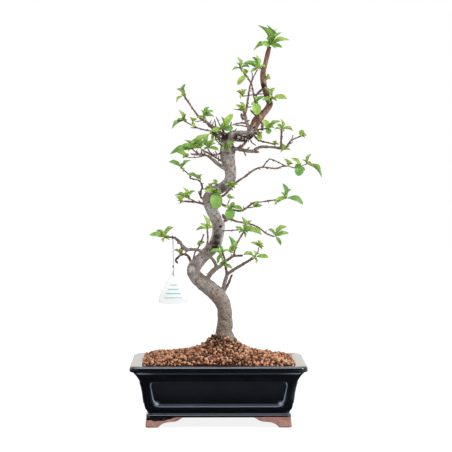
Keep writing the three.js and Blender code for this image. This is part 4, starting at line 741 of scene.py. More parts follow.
def scatter_tree():
    """Geometry Nodes: lumps from a collection, scattered over a surface, each turned and sized at random."""
    node, inlet = start_tree(
        "Granules", ("Lumps", "Collection", None), ("Spacing", "Float", 4 * MM),
        ("Density", "Float", 200000.0), ("Least Size", "Float", 4 * MM), ("Greatest Size", "Float", 6 * MM),
        ("Lift", "Float", 0.0), ("Seed", "Int", 1))
    seed = inlet["Seed"]
    weight = node("GeometryNodeInputNamedAttribute", Name="weight", data_type="FLOAT")
    points = node("GeometryNodeDistributePointsOnFaces", inlet, Distance_Min=inlet["Spacing"],
                  Density_Max=inlet["Density"], Density_Factor=weight, Seed=seed,
                  distribute_method="POISSON")
    tumble, size, heave, pick, tint = (
        node("FunctionNodeRandomValue", least, most, Seed=source, data_type=kind)
        for least, most, source, kind in (
            ((0, 0, 0), (6.283, 6.283, 6.283), seed, "FLOAT_VECTOR"),
            (inlet["Least Size"], inlet["Greatest Size"], seed, "FLOAT"),
            (HEAVE[0] * MM, HEAVE[1] * MM, seed, "FLOAT"),
            (0, 1000, seed, "INT"),
            (0.0, 1.0, TINT_SEED, "FLOAT")))
    rotation = node("FunctionNodeEulerToRotation", tumble)
    height = node("ShaderNodeMath", inlet["Lift"], heave, operation="ADD")
    lift = node("ShaderNodeVectorMath", points["Normal"], height, operation="SCALE")
    raised = node("GeometryNodeSetPosition", points, Offset=lift)
    lumps = node("GeometryNodeCollectionInfo", inlet["Lumps"], Separate_Children=True, Reset_Children=True)
    placed = node("GeometryNodeInstanceOnPoints", raised, Instance=lumps, Pick_Instance=True,
                  Instance_Index=pick, Rotation=rotation, Scale=size)
    tinted = node("GeometryNodeStoreNamedAttribute", placed, Name="tint", Value=tint, data_type="FLOAT",
                  domain="INSTANCE")
    return end_tree(node, inlet, tinted, "RealizeInstances", "SetShadeSmooth")


def spray_tree():
    """Geometry Nodes: one leaf on each point, along its own axis, faced and sized by the point's values."""
    node, inlet = start_tree("Leafy spray", ("Blades", "Collection", None))
    points = node("GeometryNodeMeshToPoints", inlet)
    blades = node("GeometryNodeCollectionInfo", inlet["Blades"], Separate_Children=True, Reset_Children=True)
    along, face, size, kind = (
        node("GeometryNodeInputNamedAttribute", Name="leaf_" + name, data_type=data_type)
        for name, data_type in (("along", "FLOAT_VECTOR"), ("face", "FLOAT_VECTOR"),
                                ("size", "FLOAT_VECTOR"), ("kind", "INT")))
    rotation = node("FunctionNodeAxesToRotation", Primary_Axis=along, Secondary_Axis=face,
                    primary_axis="Y", secondary_axis="Z")
    placed = node("GeometryNodeInstanceOnPoints", points, Instance=blades, Pick_Instance=True,
                  Instance_Index=kind, Rotation=rotation, Scale=size)
    return end_tree(node, inlet, placed, "RealizeInstances")


def screen_tree():
    """Geometry Nodes: a square net of bars, the rows lying across the columns."""
    node, inlet = start_tree(
        "Net", ("Side", "Float", 34 * MM), ("Bars", "Int", 12), ("Bar", "Float", 1.1 * MM),
        ("Height", "Float", SCREEN_BAR * MM))
    span = node("ShaderNodeMath", inlet["Side"], inlet["Bar"], operation="SUBTRACT")
    row = node("GeometryNodeMeshGrid", span, 0.0, inlet["Bars"], 1)
    size = node("ShaderNodeCombineXYZ", inlet["Bar"], inlet["Side"], inlet["Height"])
    bar = node("GeometryNodeMeshCube", size, Vertices_Y=6)
    bars = node("GeometryNodeInstanceOnPoints", row, Instance=bar)
    lift = node("ShaderNodeCombineXYZ", Z=inlet["Height"])
    turned = node("GeometryNodeTransform", bars, Rotation=(0, 0, math.pi / 2), Translation=lift)
    solid = node("GeometryNodeRealizeInstances", node("GeometryNodeJoinGeometry", [bars, turned]))
    here = node("GeometryNodeInstanceOnPoints", inlet, Instance=solid)
    return end_tree(node, inlet, here, "RealizeInstances")


def link_new(name, data):
    """An object of the scene from its data."""
    thing = bpy.data.objects.new(name, data)
    bpy.context.scene.collection.objects.link(thing)
    return thing


def mesh_of(shape, name):
    """A mesh from a bmesh, which is freed."""
    mesh = bpy.data.meshes.new(name)
    shape.to_mesh(mesh)
    shape.free()
    return mesh


def new_mesh_object(name, vertices, faces, edges=()):
    """An object in the scene from points in millimetres."""
    mesh = bpy.data.meshes.new(name)
    mesh.from_pydata([tuple(p) for p in to_frame(vertices)], [tuple(e) for e in edges], faces)
    mesh.update()
    return link_new(name, mesh)


def add_tree(thing, tree, **values):
    """Puts a node tree on an object, with its inputs set by their names, and settles the object."""
    modifier = thing.modifiers.new(tree.name, "NODES")
    modifier.node_group = tree
    for item in tree.interface.items_tree:
        key = item.name.lower().replace(" ", "_")
        if item.in_out == "INPUT" and key in values:
            modifier[item.identifier] = values[key]
    settle(thing)


def settle(thing):
    """Turns an object with modifiers into one with a plain mesh."""
    evaluated = thing.evaluated_get(bpy.context.evaluated_depsgraph_get())
    mesh = bpy.data.meshes.new_from_object(evaluated)
    thing.modifiers.clear()
    thing.data = mesh


def skin_over(thing, voxel, passes):
    """One voxel skin over all of an object's parts, eased in some passes."""
    skin = thing.modifiers.new("Skin", "REMESH")
    skin.mode, skin.voxel_size = "VOXEL", voxel
    ease = thing.modifiers.new("Ease", "SMOOTH")
    ease.factor, ease.iterations = 0.5, passes
    settle(thing)


def smooth_under(mesh, degrees):
    """Smooth faces, with edges left sharp where the surface turns by more than an angle."""
    mesh.shade_smooth()
    shape = bmesh.new()
    shape.from_mesh(mesh)
    for edge in shape.edges:
        edge.smooth = len(edge.link_faces) == 2 and edge.calc_face_angle() < math.radians(degrees)
    shape.to_mesh(mesh)
    shape.free()


def finish_piece(thing, node, material=None):
    """The piece rides on the only body, has its record slot, and stands for the node it replaces."""
    if material:
        thing.data.materials.clear()
        thing.data.materials.append(material)
    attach(thing, "root")
    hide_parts(node)


def set_values(mesh, **values):
    """Named values for each point of a mesh: numbers, whole numbers or rows of three."""
    for name, rows in values.items():
        rows = np.ascontiguousarray(rows)
        kind, key = (("FLOAT_VECTOR", "vector") if rows.ndim == 2
                     else ("INT" if rows.dtype.kind == "i" else "FLOAT", "value"))
        mesh.attributes.new(name, kind, "POINT").data.foreach_set(key, rows.ravel())


def mesh_points(mesh):
    """A mesh's points in millimetres from the pot's middle."""
    places = np.empty(len(mesh.vertices) * 3)
    mesh.vertices.foreach_get("co", places)
    return (places.reshape(-1, 3) - MIDDLE) / MM


def move_points(mesh, points):
    mesh.vertices.foreach_set("co", to_frame(points).ravel())
    mesh.update()


def smoothstep(value, low, high):
    t = np.clip((value - low) / (high - low), 0, 1)
    return t * t * (3 - 2 * t)


def away(x, y, place):
    """Distances from a place in a plane."""
    return np.hypot(x - place[0], y - place[1])


def bell(distance, reach):
    """A smooth bump that is one in the middle and falls off over a reach."""
    return np.exp(-(distance / reach) ** 2)


def any_way(draw):
    """A random vector inside a cube."""
    return Vector([draw.uniform(-1, 1) for _ in range(3)])


def bezier(start, bend, stop, t):
    """A point at a share of the way along a curve with one bend."""
    return tuple((1 - t) ** 2 * a + 2 * t * (1 - t) * b + t * t * c for a, b, c in zip(start, bend, stop))


def loft(rings):
    """A closed skin over rings of points, which run anticlockwise about the way from first to last."""
    count, sides = len(rings), len(rings[0])
    points = np.concatenate([*rings, [rings[0].mean(axis=0)], [rings[-1].mean(axis=0)]])
    first, last = count * sides, count * sides + 1
    faces = []
    for k in range(sides):
        after = (k + 1) % sides
        faces.append((first, after, k))
        for i in range(0, (count - 1) * sides, sides):
            faces.append((i + k, i + after, i + sides + after, i + sides + k))
        faces.append((last, (count - 1) * sides + k, (count - 1) * sides + after))
    return points, faces


def rounded_profile(profile, step, passes=2):
    """A profile with points added at even steps and its corners eased."""
    points = [np.array(profile[0], float)]
    for start, end in zip(profile, profile[1:]):
        start, end = np.array(start, float), np.array(end, float)
        count = max(1, round(np.linalg.norm(end - start) / step))
        points += [start + (end - start) * i / count for i in range(1, count + 1)]
    points = np.array(points)
    for _ in range(passes):
        points[1:-1] = (points[:-2] + 2 * points[1:-1] + points[2:]) / 4
    return points


def pot_ring(inset, z, thinning=1):
    """A level ring round the pot at an inset from the rim, with its columns in the same order."""
    radius = max(RIM_CORNER - CORNER_TIGHTENING * inset, LEAST_CORNER)
    halves = (HALF_LENGTH - inset, HALF_WIDTH - inset)
    ring = []
    for turn in range(4):
        out = np.array([round(math.cos(turn * math.pi / 2)), round(math.sin(turn * math.pi / 2))])
        way = np.array([-out[1], out[0]])
        half, span = (halves if turn % 2 == 0 else halves[::-1])
        span -= radius
        columns = (SHORT_COLUMNS if turn % 2 == 0 else LONG_COLUMNS) // thinning
        for i in range(columns):
            share = 2 * i / columns - 1
            packed = math.copysign(np.interp(abs(share), (0, 0.4, 1), (0, 0.7, 1)), share)
            ring.append(out * half + way * span * packed)
        corners = CORNER_COLUMNS // thinning
        for i in range(corners):
            angle = i / corners * math.pi / 2
            ring.append(out * (half - radius) + way * span + radius * (
                out * math.cos(angle) + way * math.sin(angle)))
    return np.column_stack([np.array(ring), np.full(len(ring), float(z))])


def soil_height(x, y):
    """Height of the mounded soil: a dome inside the pot's edge and a cone round the trunk."""
    in_x = np.maximum(0.01, HALF_LENGTH - RIM_BAND - np.abs(x))
    in_y = np.maximum(0.01, HALF_WIDTH - RIM_BAND - np.abs(y))
    edge = in_x * in_y / (in_x + in_y)
    distance = away(x, y, SOIL_PEAK)
    dome = SOIL_DOME * (1 - np.exp(-edge / SOIL_DOME_REACH))
    cone = SOIL_CONE * np.exp(-np.maximum(distance, SOIL_CONE_TOP) / SOIL_CONE_REACH)
    return SOIL_EDGE + dome + cone - SOIL_LEAN * x


def panel_form(points, width):
    """For each point of the pot's wall: its share of a bead, of the groove round it, of a panel, and of the
    bead's upright ends."""
    x, y, z = points.T
    long_side = np.abs(y) - HALF_WIDTH > np.abs(x) - HALF_LENGTH
    along = np.where(long_side, np.abs(x), np.abs(y))
    half = np.where(long_side, HALF_LENGTH, HALF_WIDTH)
    share = (z - BEAD_BOTTOM) / (BEAD_TOP - BEAD_BOTTOM)
    across = along - half + BEAD_BOTTOM_INSET + (BEAD_TOP_INSET - BEAD_BOTTOM_INSET) * share + BEAD_CORNER
    middle, reach = (BEAD_TOP + BEAD_BOTTOM) / 2, (BEAD_TOP - BEAD_BOTTOM) / 2
    upward = np.abs(z - middle) - reach + BEAD_CORNER
    distance = (np.hypot(np.maximum(across, 0), np.maximum(upward, 0))
                + np.minimum(np.maximum(across, upward), 0) - BEAD_CORNER)
    crest, groove = (np.cos(np.clip((distance - at * width) / (half * width), -1, 1) * math.pi / 2) ** 2
                     for at, half in ((0, 0.5), (GROOVE_OFFSET, GROOVE_HALF)))
    return crest, groove, smoothstep(-distance, 0, width / 2), smoothstep(across - upward, -5, 3)


def glaze_material(settings):
    """Reduction-fired black glaze, poured over stoneware.

    It gives the eye a near-black, wet gloss with a slow ripple, a brown-violet tone where it ran thin over
    an edge, and painted blue-white highlights and glints along the beads, under the lip and on the panels.
    """
    material, node, _, thin, gleamed, clouds, ripple = new_material(
        "poured_black_glaze", ("thin", "milky"), ((22.0, 3.0), (48.0, 2.0)))
    broken = node("ShaderNodeMapRange", clouds, 0.35, 0.7, 0.35, 1.0, **SMOOTH)
    drifted = node("ShaderNodeMath", thin, broken, operation="MULTIPLY")
    # The last coat paints highlights into the glaze's colour.
    glaze = coats(node, settings.glaze, ("#101318", clouds, 0.4, 0.68), (settings.thin_glaze, drifted),
                  (settings.milky, gleamed))
    shade(node, (0.25, 0.3 * MM, ripple), Base_Color=glaze, IOR=1.55,
          Roughness=node("ShaderNodeMapRange", clouds, 0.3, 0.75, 0.07, 0.13, **SMOOTH))
    return material


def clay_material(settings):
    """Bare fired stoneware of the feet, dressed with pinkish slip.

    It gives the eye a dry, sandy, pink-brown surface, darker in its hollows, with runs of glaze over it.
    """
    material, node, _, crest, drip, mottle, grog = new_material(
        "bare_pink_stoneware", ("crest", "drip"), ((90.0, 5.0), (900.0, 2.0)))
    ragged = node("ShaderNodeMapRange", mottle, 0.3, 0.7, -0.12, 0.12, **SMOOTH)
    edge = node("ShaderNodeMath", drip, ragged, operation="ADD")
    glazed = node("ShaderNodeMapRange", edge, 0.45, 0.55, **SMOOTH)
    clay = coats(node, "#8c6357", (settings.clay, mottle, 0.35, 0.68), ("#b48c7e", crest),
                 ("#6f4b40", grog, 0.56, 0.7, 0.0, 0.5), ("#121015", glazed))
    shade(node, (0.5, 0.3 * MM, grog), Base_Color=clay,
          Roughness=node("ShaderNodeMapRange", glazed, 0.0, 1.0, 0.85, 0.25, **SMOOTH))
    return material


class BONSAI_OT_pot(bpy.types.Operator):
    """Build the glazed bowl with its beaded panels, and the scrolled feet of bare clay"""
    bl_idname = "bonsai.pot"
    bl_label = "Pot"

    def execute(self, context):
        settings = context.scene.bonsai_pot
        finish_piece(self.bowl(settings), "pot")
        finish_piece(self.feet(), "pot", clay_material(settings))
        return {"FINISHED"}

    def bowl(self, settings):
        outside = rounded_profile(BOWL_OUTSIDE, 0.95)
        inside = rounded_profile(BOWL_INSIDE, 3.5, 1)[::-1]
        rings = [pot_ring(inset, z) for inset, z in outside]
        walls = len(rings) * len(rings[0])
        rings += [pot_ring(inset, z) for inset, z in inside]
        points, faces = loft(rings)
        crest, groove, sunk, upright = panel_form(points, settings.bead_width / MM)
        crest[walls:], groove[walls:], sunk[walls:] = 0, 0, 0
        low = 1 - smoothstep(points[:, 2], *LOW_WALL)
        faint = 1 - 0.6 * (1 - low) * (1 - upright)
        push = (faint * crest * settings.bead_height - groove * settings.groove_depth
                - sunk * settings.panel_depth) / MM
        long_side = np.abs(points[:, 1]) - HALF_WIDTH > np.abs(points[:, 0]) - HALF_LENGTH
        points[:, 1] += np.where(long_side, np.sign(points[:, 1]) * push, 0)
        points[:, 0] += np.where(long_side, 0, np.sign(points[:, 0]) * push)
        aside, height = np.abs(points[:, 0]), points[:, 2]
        inset = np.maximum(aside - HALF_LENGTH, np.abs(points[:, 1]) - HALF_WIDTH)
        rim = smoothstep(inset, -1.6, -0.4) * smoothstep(height, *THIN_RIM)
        lip = smoothstep(inset, -RIM_BAND - 1.5, -RIM_BAND + 0.5) * smoothstep(height, *THIN_LIP)
        band = bell(height - BASE_BAND, 1.6) * (inset > -27)
        under_lip = bell(height - LIP_HIGHLIGHT, 1.1) * (inset > -7)
        end_on = smoothstep(aside, HALF_LENGTH - 45, HALF_LENGTH - 8)
        corner = bell(away(aside, height, CORNER_GLINT), 8 ** 0.5) * long_side
        # Painted highlights: the beads' upright ends and crests, a second line along the lower groove, a
        # glint at each lower corner, a line under the lip that brightens towards its ends, and a faint
        # painted sheen on the panels' upper part.
        milky = (crest ** 2 * upright * (0.5 + 0.5 * low) + groove * low * (1.15 - upright) + corner
                 + 0.15 * crest * low * (1 - upright)
                 + under_lip * (0.12 + 0.5 * end_on) + 0.02 * sunk * (1 - low))
        bowl = new_mesh_object("pot_bowl", points, faces)
        set_values(bowl.data, thin=np.clip(0.55 * crest + 0.9 * rim + 0.25 * lip + 0.5 * band, 0, 1),
                   milky=np.clip(milky, 0, 1))
        bowl.data.materials.append(glaze_material(settings))
        drill = self.drill()
        cut = bowl.modifiers.new("Drains", "BOOLEAN")
        cut.operation, cut.solver, cut.object = "DIFFERENCE", "MANIFOLD", drill
        settle(bowl)
        bpy.data.objects.remove(drill)
        smooth_under(bowl.data, 50)
        return bowl

    def drill(self):
        """Two round rods where the drainage holes go."""
        shape = bmesh.new()
        for side in (-1, 1):
            place = to_frame((side * DRAIN_SPACING / 2, 0, (FOOT_HEIGHT + FLOOR_TOP) / 2))
            rod = bmesh.ops.create_cone(
                shape, cap_ends=True, segments=48, radius1=DRAIN_RADIUS * MM, radius2=DRAIN_RADIUS * MM,
                depth=2 * FLOOR_TOP * MM)
            bmesh.ops.translate(shape, verts=rod["verts"], vec=place)
        return link_new("drill", mesh_of(shape, "drill"))

    def feet(self):
        """Each foot is two plates that meet under a corner, skinned over together."""
        vertices, faces = [], []
        base_x, base_y = HALF_LENGTH - BASE_INSET, HALF_WIDTH - BASE_INSET
        corners = ((-1, -1), (-1, 1), (1, -1), (1, 1))
        for half, face, reach, swap in ((base_x, base_y, FOOT_LENGTH, False),
                                        (base_y, base_x, SHORT_FOOT_SHARE * FOOT_LENGTH, True)):
            outline = self.outline(half - 1, reach)
            count = len(outline)
            for side, end in corners:
                start = len(vertices)
                for depth in (face + 1, face + 1 - FOOT_PLATE):
                    for along, z in outline:
                        level = (side * along, end * depth)
                        vertices.append((*(level[::-1] if swap else level), z))
                plate = [(start + i, start + (i + 1) % count, start + count + (i + 1) % count,
                          start + count + i) for i in range(count)]
                plate += [tuple(range(start + count - 1, start - 1, -1)),
                          tuple(range(start + count, start + 2 * count))]
                turned = (side * end < 0) != swap
                faces += [corner[::-1] for corner in plate] if turned else plate
        feet = new_mesh_object("pot_feet", vertices, faces)
        skin_over(feet, FOOT_VOXEL * MM, FOOT_EASING)
        self.carve(feet.data, base_x, base_y)
        feet.data.shade_smooth()
        return feet

    def outline(self, half, reach):
        """One foot plate's edge, as [from the pot's middle, height]."""
        scale = reach / FOOT_LENGTH
        outer = half + FOOT_SPREAD
        heel = outer - FOOT_TOE * scale
        toe = (heel, 2.4)
        hook, cusp, bow, end = [(outer - (FOOT_TOE + past) * scale, z) for past, z in FOOT_SCALLOP]
        points = [(half, FOOT_HEIGHT + 1), (outer - 2.4, 11), (outer - 0.8, 7), (outer + 0.6, 4),
                  (outer + 0.6, 2), (outer - 0.6, 0.5), (outer - 2.4, 0), (heel + 3, 0), (heel + 0.8, 0.9),
                  toe]
        for curve in ((toe, hook, cusp), (cusp, bow, end)):
            points += [bezier(*curve, i / 8) for i in range(1, 9)]
        return points + [(outer - reach, FOOT_HEIGHT + 1)]

    def carve(self, mesh, base_x, base_y):
        """Cloud scrolls in relief on the outward faces, and runs of glaze over the front left foot."""
        points = mesh_points(mesh)
        x, y, z = points.T
        front = np.abs(y) > base_y + 0.3
        end = np.abs(x) > base_x + 0.3
        span_x, span_y = base_x - 1 + FOOT_SPREAD, base_y - 1 + FOOT_SPREAD
        past = np.where(front, span_x - np.abs(x), span_y - np.abs(y))
        relief = np.zeros(len(points))
        for middle, height, radius, pitch in SCROLLS:
            out = np.hypot(past - middle, z - height)
            turn = np.arctan2(z - height, past - middle) / (2 * math.pi)
            ridge = 0.5 + 0.5 * np.cos(2 * math.pi * (out / pitch - turn))
            relief = np.maximum(relief, ridge * (1 - smoothstep(out, radius - 0.8, radius + 0.8)))
        relief *= front | end
        push = relief * SCROLL_HEIGHT
        points[:, 1] += np.where(front, np.sign(y) * push, 0)
        points[:, 0] += np.where(end & ~front, np.sign(x) * push, 0)
        drip = np.zeros(len(points))
        for place, low, half in GLAZE_RUNS:
            edge = low + RUN_DEPTH * ((x - place) / half) ** 2
            drip = np.maximum(drip, smoothstep(z, edge - 0.8, edge + 0.8))
        drip *= (y < 0) & (x < 0)
        move_points(mesh, points)
        set_values(mesh, crest=relief, drip=np.maximum(drip, smoothstep(z, *FOOT_GLAZE)))


def lump(name, seed, flatness=(1.0, 0.82, 0.68), roughness=0.26):
    """An unlinked stone of unit width, broken rather than round, for scattering."""
    shape = bmesh.new()
    bmesh.ops.create_cube(shape, size=1)
    bmesh.ops.subdivide_edges(shape, edges=shape.edges[:], cuts=1, use_grid_fill=True)
    draw = random.Random(seed)
    cuts = [any_way(draw).normalized() for _ in range(6)]
    for vertex in shape.verts:
        place = vertex.co.normalized() * 0.53
        for cut in cuts:
            excess = place.dot(cut) - 0.31
            if excess > 0:
                place -= cut * excess * 0.8
        place *= 1 + draw.uniform(-roughness, roughness) / 2
        vertex.co = Vector(a * b for a, b in zip(place, flatness))
    return bpy.data.objects.new(name, mesh_of(shape, name))


def granule_material(name, settings, gap_shade=0.0):
    """Fired akadama and pumice-like clay granules, tumbled and sieved.

    They give the eye dusty, matt lumps whose colour changes from one granule to the next.
    """
    material, node, _, tint, dust, pores = new_material(name, ("tint",), ((700.0, 4.0), (1500.0, 2.0)))
    clay = coats(node, settings.brown, (settings.orange, tint, 0.22, 0.6), (settings.pale, tint, 0.9, 0.97),
                 ("#dcaa8a", dust, 0.4, 0.75, 0.0, 0.6), ("#5c3728", pores, 0.58, 0.72, 0.0, 0.6),
                 # A near-black brown laid over the layers seen only through gaps, as painted shade between
                 # the granules.
                 ("#24130e", gap_shade))
    shade(node, (0.7, 0.4 * MM, pores), Base_Color=clay, Roughness=0.92, Specular_IOR_Level=0.15)
    return material


def crumb_material():
    """Crumbs of shed bark and moss peat.

    They give the eye dark, dry flakes that stand out against the clay.
    """
    material, node, _, tint, grain = new_material("shed_bark_crumbs", ("tint",), ((1200.0, 3.0),))
    bark = coats(node, "#34201a", ("#6e4836", tint, 0.1, 0.8), ("#9b8474", tint, 0.93, 0.97),
                 ("#7a6250", grain, 0.45, 0.75, 0.0, 0.6))
    shade(node, Base_Color=bark, Roughness=0.9)
    return material


class BONSAI_OT_soil(bpy.types.Operator):
    """Build the soil's bed and scatter its clay granules, with bark crumbs round the trunk"""
    bl_idname = "bonsai.soil"
    bl_label = "Soil"

    def execute(self, context):
        settings = context.scene.bonsai_soil
        bed, field = self.bed(), self.field()
        tree = scatter_tree()
        stones, crumbs = bpy.data.collections.new("Stones"), bpy.data.collections.new("Crumbs")
        for seed in range(8):
            stones.objects.link(lump(f"stone_{seed}", seed))
        for seed in range(4):
            crumbs.objects.link(lump(f"crumb_{seed}", 40 + seed, (1.0, 0.5, 0.22), 0.35))
        size = settings.granule
        layers = (
            ("granules_top", "open", stones, granule_material("akadama_granules", settings),
             settings.spacing, 0.5, 1.15, -0.2),
            # The lower layer is darkened as painted shade in the gaps between the top granules.
            ("granules_under", "open", stones, granule_material("damp_akadama", settings, 0.85),
             settings.spacing * 1.1, 0.7, 1.0, -2.8),
            ("bark_crumbs", "near", crumbs, crumb_material(), 3.1 * MM, 0.45, 1.2, 1.2),
        )
        for i, (name, weight, lumps, material, spacing, least, greatest, lift) in enumerate(layers):
            layer = link_new(name, field.data.copy())
            layer.data.attributes[weight].name = "weight"
            add_tree(layer, tree, lumps=lumps, spacing=spacing, least_size=least * size,
                     greatest_size=greatest * size, lift=lift * MM, seed=settings.seed + i, material=material)
            finish_piece(layer, "soil")
        # The bed is darkened too, as painted shade where it shows through the gaps.
        finish_piece(bed, "soil", granule_material("packed_akadama", settings, 0.7))
        bpy.data.objects.remove(field)
        return {"FINISHED"}

    def bed(self):
        """The packed soil under the loose granules, filling the bowl round the screens."""
        walls = [pot_ring(inset + GAP, z + (GAP if z == FLOOR_TOP else 0), 4)
                 for inset, z in BOWL_INSIDE[:-1]]
        tops = []
        for inset in np.arange(RIM_BAND + GAP + 0.1, HALF_WIDTH - 1, 3.0):
            ring = pot_ring(inset, 0, 4)
            ring[:, 2] = soil_height(ring[:, 0], ring[:, 1]) - BED_DEPTH
            tops.append(ring)
        bed = new_mesh_object("soil_bed", *loft(walls + tops))
        smooth_under(bed.data, 60)
        return bed

    def field(self):
        """The soil's surface as a grid, with a weight for where each kind of lump lies."""
        across, deep = (np.linspace(RIM_BAND + 1.1 - half, half - RIM_BAND - 1.1, count)
                        for half, count in ((HALF_LENGTH, 98), (HALF_WIDTH, 68)))
        x, y = (part.ravel() for part in np.meshgrid(across, deep))
        wall = np.minimum(HALF_LENGTH - np.abs(x), HALF_WIDTH - np.abs(y)) - RIM_BAND
        points = np.column_stack([x, y, soil_height(x, y) + BANK_HEIGHT * np.exp(-wall / BANK_REACH)])
        wide = len(across)
        faces = [(i, i + 1, i + wide + 1, i + wide) for row in range(len(deep) - 1)
                 for i in range(row * wide, row * wide + wide - 1)]
        field = new_mesh_object("soil_field", points, faces)
        clear = smoothstep(away(x, y, TRUNK_FOOT), *TRUNK_CLEARING)
        near = 1 - smoothstep(away(x, y, CRUMB_HEAP), *HEAP_REACH)
        set_values(field.data, open=clear, near=clear * near)
        return field


def branch_rows(foot, tip, *path):
    """A tapering branch as rows of [x, y, z, radius], with its tip rounded off."""
    last = len(path) - 1
    rows = [[*p, foot + (tip - foot) * i / last] for i, p in enumerate(path)]
    way = np.array(path[-1], float) - np.array(path[-2], float)
    way *= 0.8 * tip / np.linalg.norm(way)
    rows.append([*(np.array(path[-1]) + way), 0.4 * tip])
    return rows


def limb_lines(name, limbs):
    """Lines along limbs, each of them rows of [x, y, z, radius]."""
    vertices, edges, reach = [], [], []
    for rows in limbs:
        start = len(vertices)
        vertices += [row[:3] for row in rows]
        edges += [(start + i, start + i + 1) for i in range(len(rows) - 1)]
        reach += [row[3] * MM for row in rows]
    lines = new_mesh_object(name, vertices, [], edges)
    set_values(lines.data, reach=reach)
    return lines


def bark_material(settings):
    """Living quince bark: old plates that flake off, over smooth reddish bark on young wood.

    It gives the eye soft grey mottling with small dark pores, pale worn places, dark cracks, painted shade
    in its hollows and down its shaded side, a reddish-brown leader and dark brown twigs.
    """
    material, node, place, youth, warm, pale, dark, rough, flakes, stains, grit, scales = new_material(
        "flaking_quince_bark", ("youth", "warm", "pale", "dark", "rough"),
        ((240.0, 4.0), (32.0, 3.0), (480.0, 2.0), (230.0, 3.0)))
    tall, flat = (node("ShaderNodeMapping", Vector=place, Scale=scale)
                  for scale in ((1.0, 1.0, 0.4), (0.5, 0.5, 1.6)))
    plates, wrinkles, swirl = (
        node("ShaderNodeTexNoise", Vector=where, Scale=scale, Detail=detail, Roughness=broken)
        for where, scale, detail, broken in (
            (tall, 85.0, 5.0, 0.62), (flat, 420.0, 3.0, 0.6), (flat, 105.0, 3.0, 0.5)))
    pores = node("ShaderNodeTexVoronoi", Vector=place, Scale=190.0, feature="F1")
    height = node("ShaderNodeSeparateXYZ", place)["Z"]
    off = node("ShaderNodeMath", swirl, 0.5, operation="SUBTRACT")
    crease = node("ShaderNodeMath", off, operation="ABSOLUTE")
    worn, sunk = (
        node("ShaderNodeMath", share, node("ShaderNodeMapRange", flakes, 0.3, 0.7, -spread, spread, **SMOOTH),
             operation="ADD") for share, spread in ((pale, 0.35), (dark, 0.25)))
    torn = node("ShaderNodeMapRange", rough, 1.1, 1.6, **SMOOTH)
    flecks = node("ShaderNodeMapRange", scales, 0.56, 0.6, 0.0, 0.9, **SMOOTH)
    peeling, reddish = (node("ShaderNodeMath", *pair, operation="MULTIPLY")
                        for pair in ((torn, flecks), (warm, 0.95)))
    twig = coats(node, settings.young_bark, ("#917869", flakes, 0.42, 0.7))
    young = coats(node, settings.warm_bark, ("#9d7869", plates, 0.4, 0.66),
                  ("#54352a", wrinkles, 0.54, 0.7, 0.0, 0.5))
    wood = coats(node, "#c6c1ba", ("#cba48c", warm))
    bark = coats(
        node, settings.old_bark, (settings.pale_bark, plates, 0.38, 0.64),
        ("#84695b", stains, 0.44, 0.62, 0.0, 0.65), ("#857768", height, 0.16, 0.3, 0.85, 0.0),
        ("#75604f", flakes, 0.5, 0.66, 0.0, 0.4), (settings.dark_bark, wrinkles, 0.56, 0.7, 0.0, 0.6),
        (settings.dark_bark, crease, 0.0, 0.014, 0.6, 0.0),
        (settings.dark_bark, pores["Distance"], 0.16, 0.38, 0.85, 0.0),
        ("#cbc4be", grit, 0.52, 0.68, 0.0, 0.4), ("#5a4c42", grit, 0.34, 0.46, 0.4, 0.0), (twig, youth),
        # The near-black coat over the darkest patches and knot hearts is partly painted shade.
        (young, reddish), (wood, worn, 0.3, 0.7, 0.0, 0.85), ("#301d15", sunk, 0.1, 1.15, 0.0, 0.97),
        ("#c9bcb0", peeling))
    grain = node("ShaderNodeMath", flakes, wrinkles, operation="ADD")
    shade(node, (0.6, 0.5 * MM, grain), Base_Color=bark, Roughness=0.85, Specular_IOR_Level=0.15)
    return material


def all_limbs():
    """Every limb of the tree that shows, as rows of [x, y, z, radius]."""
    return [TRUNK, LEADER] + [branch_rows(*branch) for branch in THICK_BRANCHES + THIN_BRANCHES + STUBS]


def finer_rows(rows, step=2.5):
    """The rows of a limb with rows added between them, no further apart than a step."""
    finer = []
    for start, end in zip(np.array(rows, float), np.array(rows[1:], float)):
        count = max(1, math.ceil(np.linalg.norm(end[:3] - start[:3]) / step))
        finer += [start + (end - start) * i / count for i in range(count)]
    return finer + [np.array(rows[-1], float)]


def spur_rows(branches, draw):
    """Short, blunt spurs that stand off along branches, each leaning towards the branch's tip."""
    spurs = []
    for branch in branches:
        rows = finer_rows(branch_rows(*branch)[:-1], 1.0)
        at = draw.uniform(0.3, 1) * SPUR_SPACING
        while at < len(rows) - 3:
            row, after = rows[int(at)], rows[int(at) + 2]
            way = Vector(after[:3] - row[:3]).normalized()
            side = any_way(draw)
            aim = (side - way * side.dot(way)).normalized() + draw.uniform(0.1, 0.8) * way
            aim *= (row[3] + draw.uniform(*SPUR_LENGTHS)) / aim.length
            foot = Vector(row[:3])
            radius = min(SPUR_RADIUS, 0.8 * row[3])
            spurs.append((radius, 0.8 * radius, foot, foot + 0.6 * aim, foot + aim))
            at += draw.uniform(0.5, 1.5) * SPUR_SPACING
    return spurs


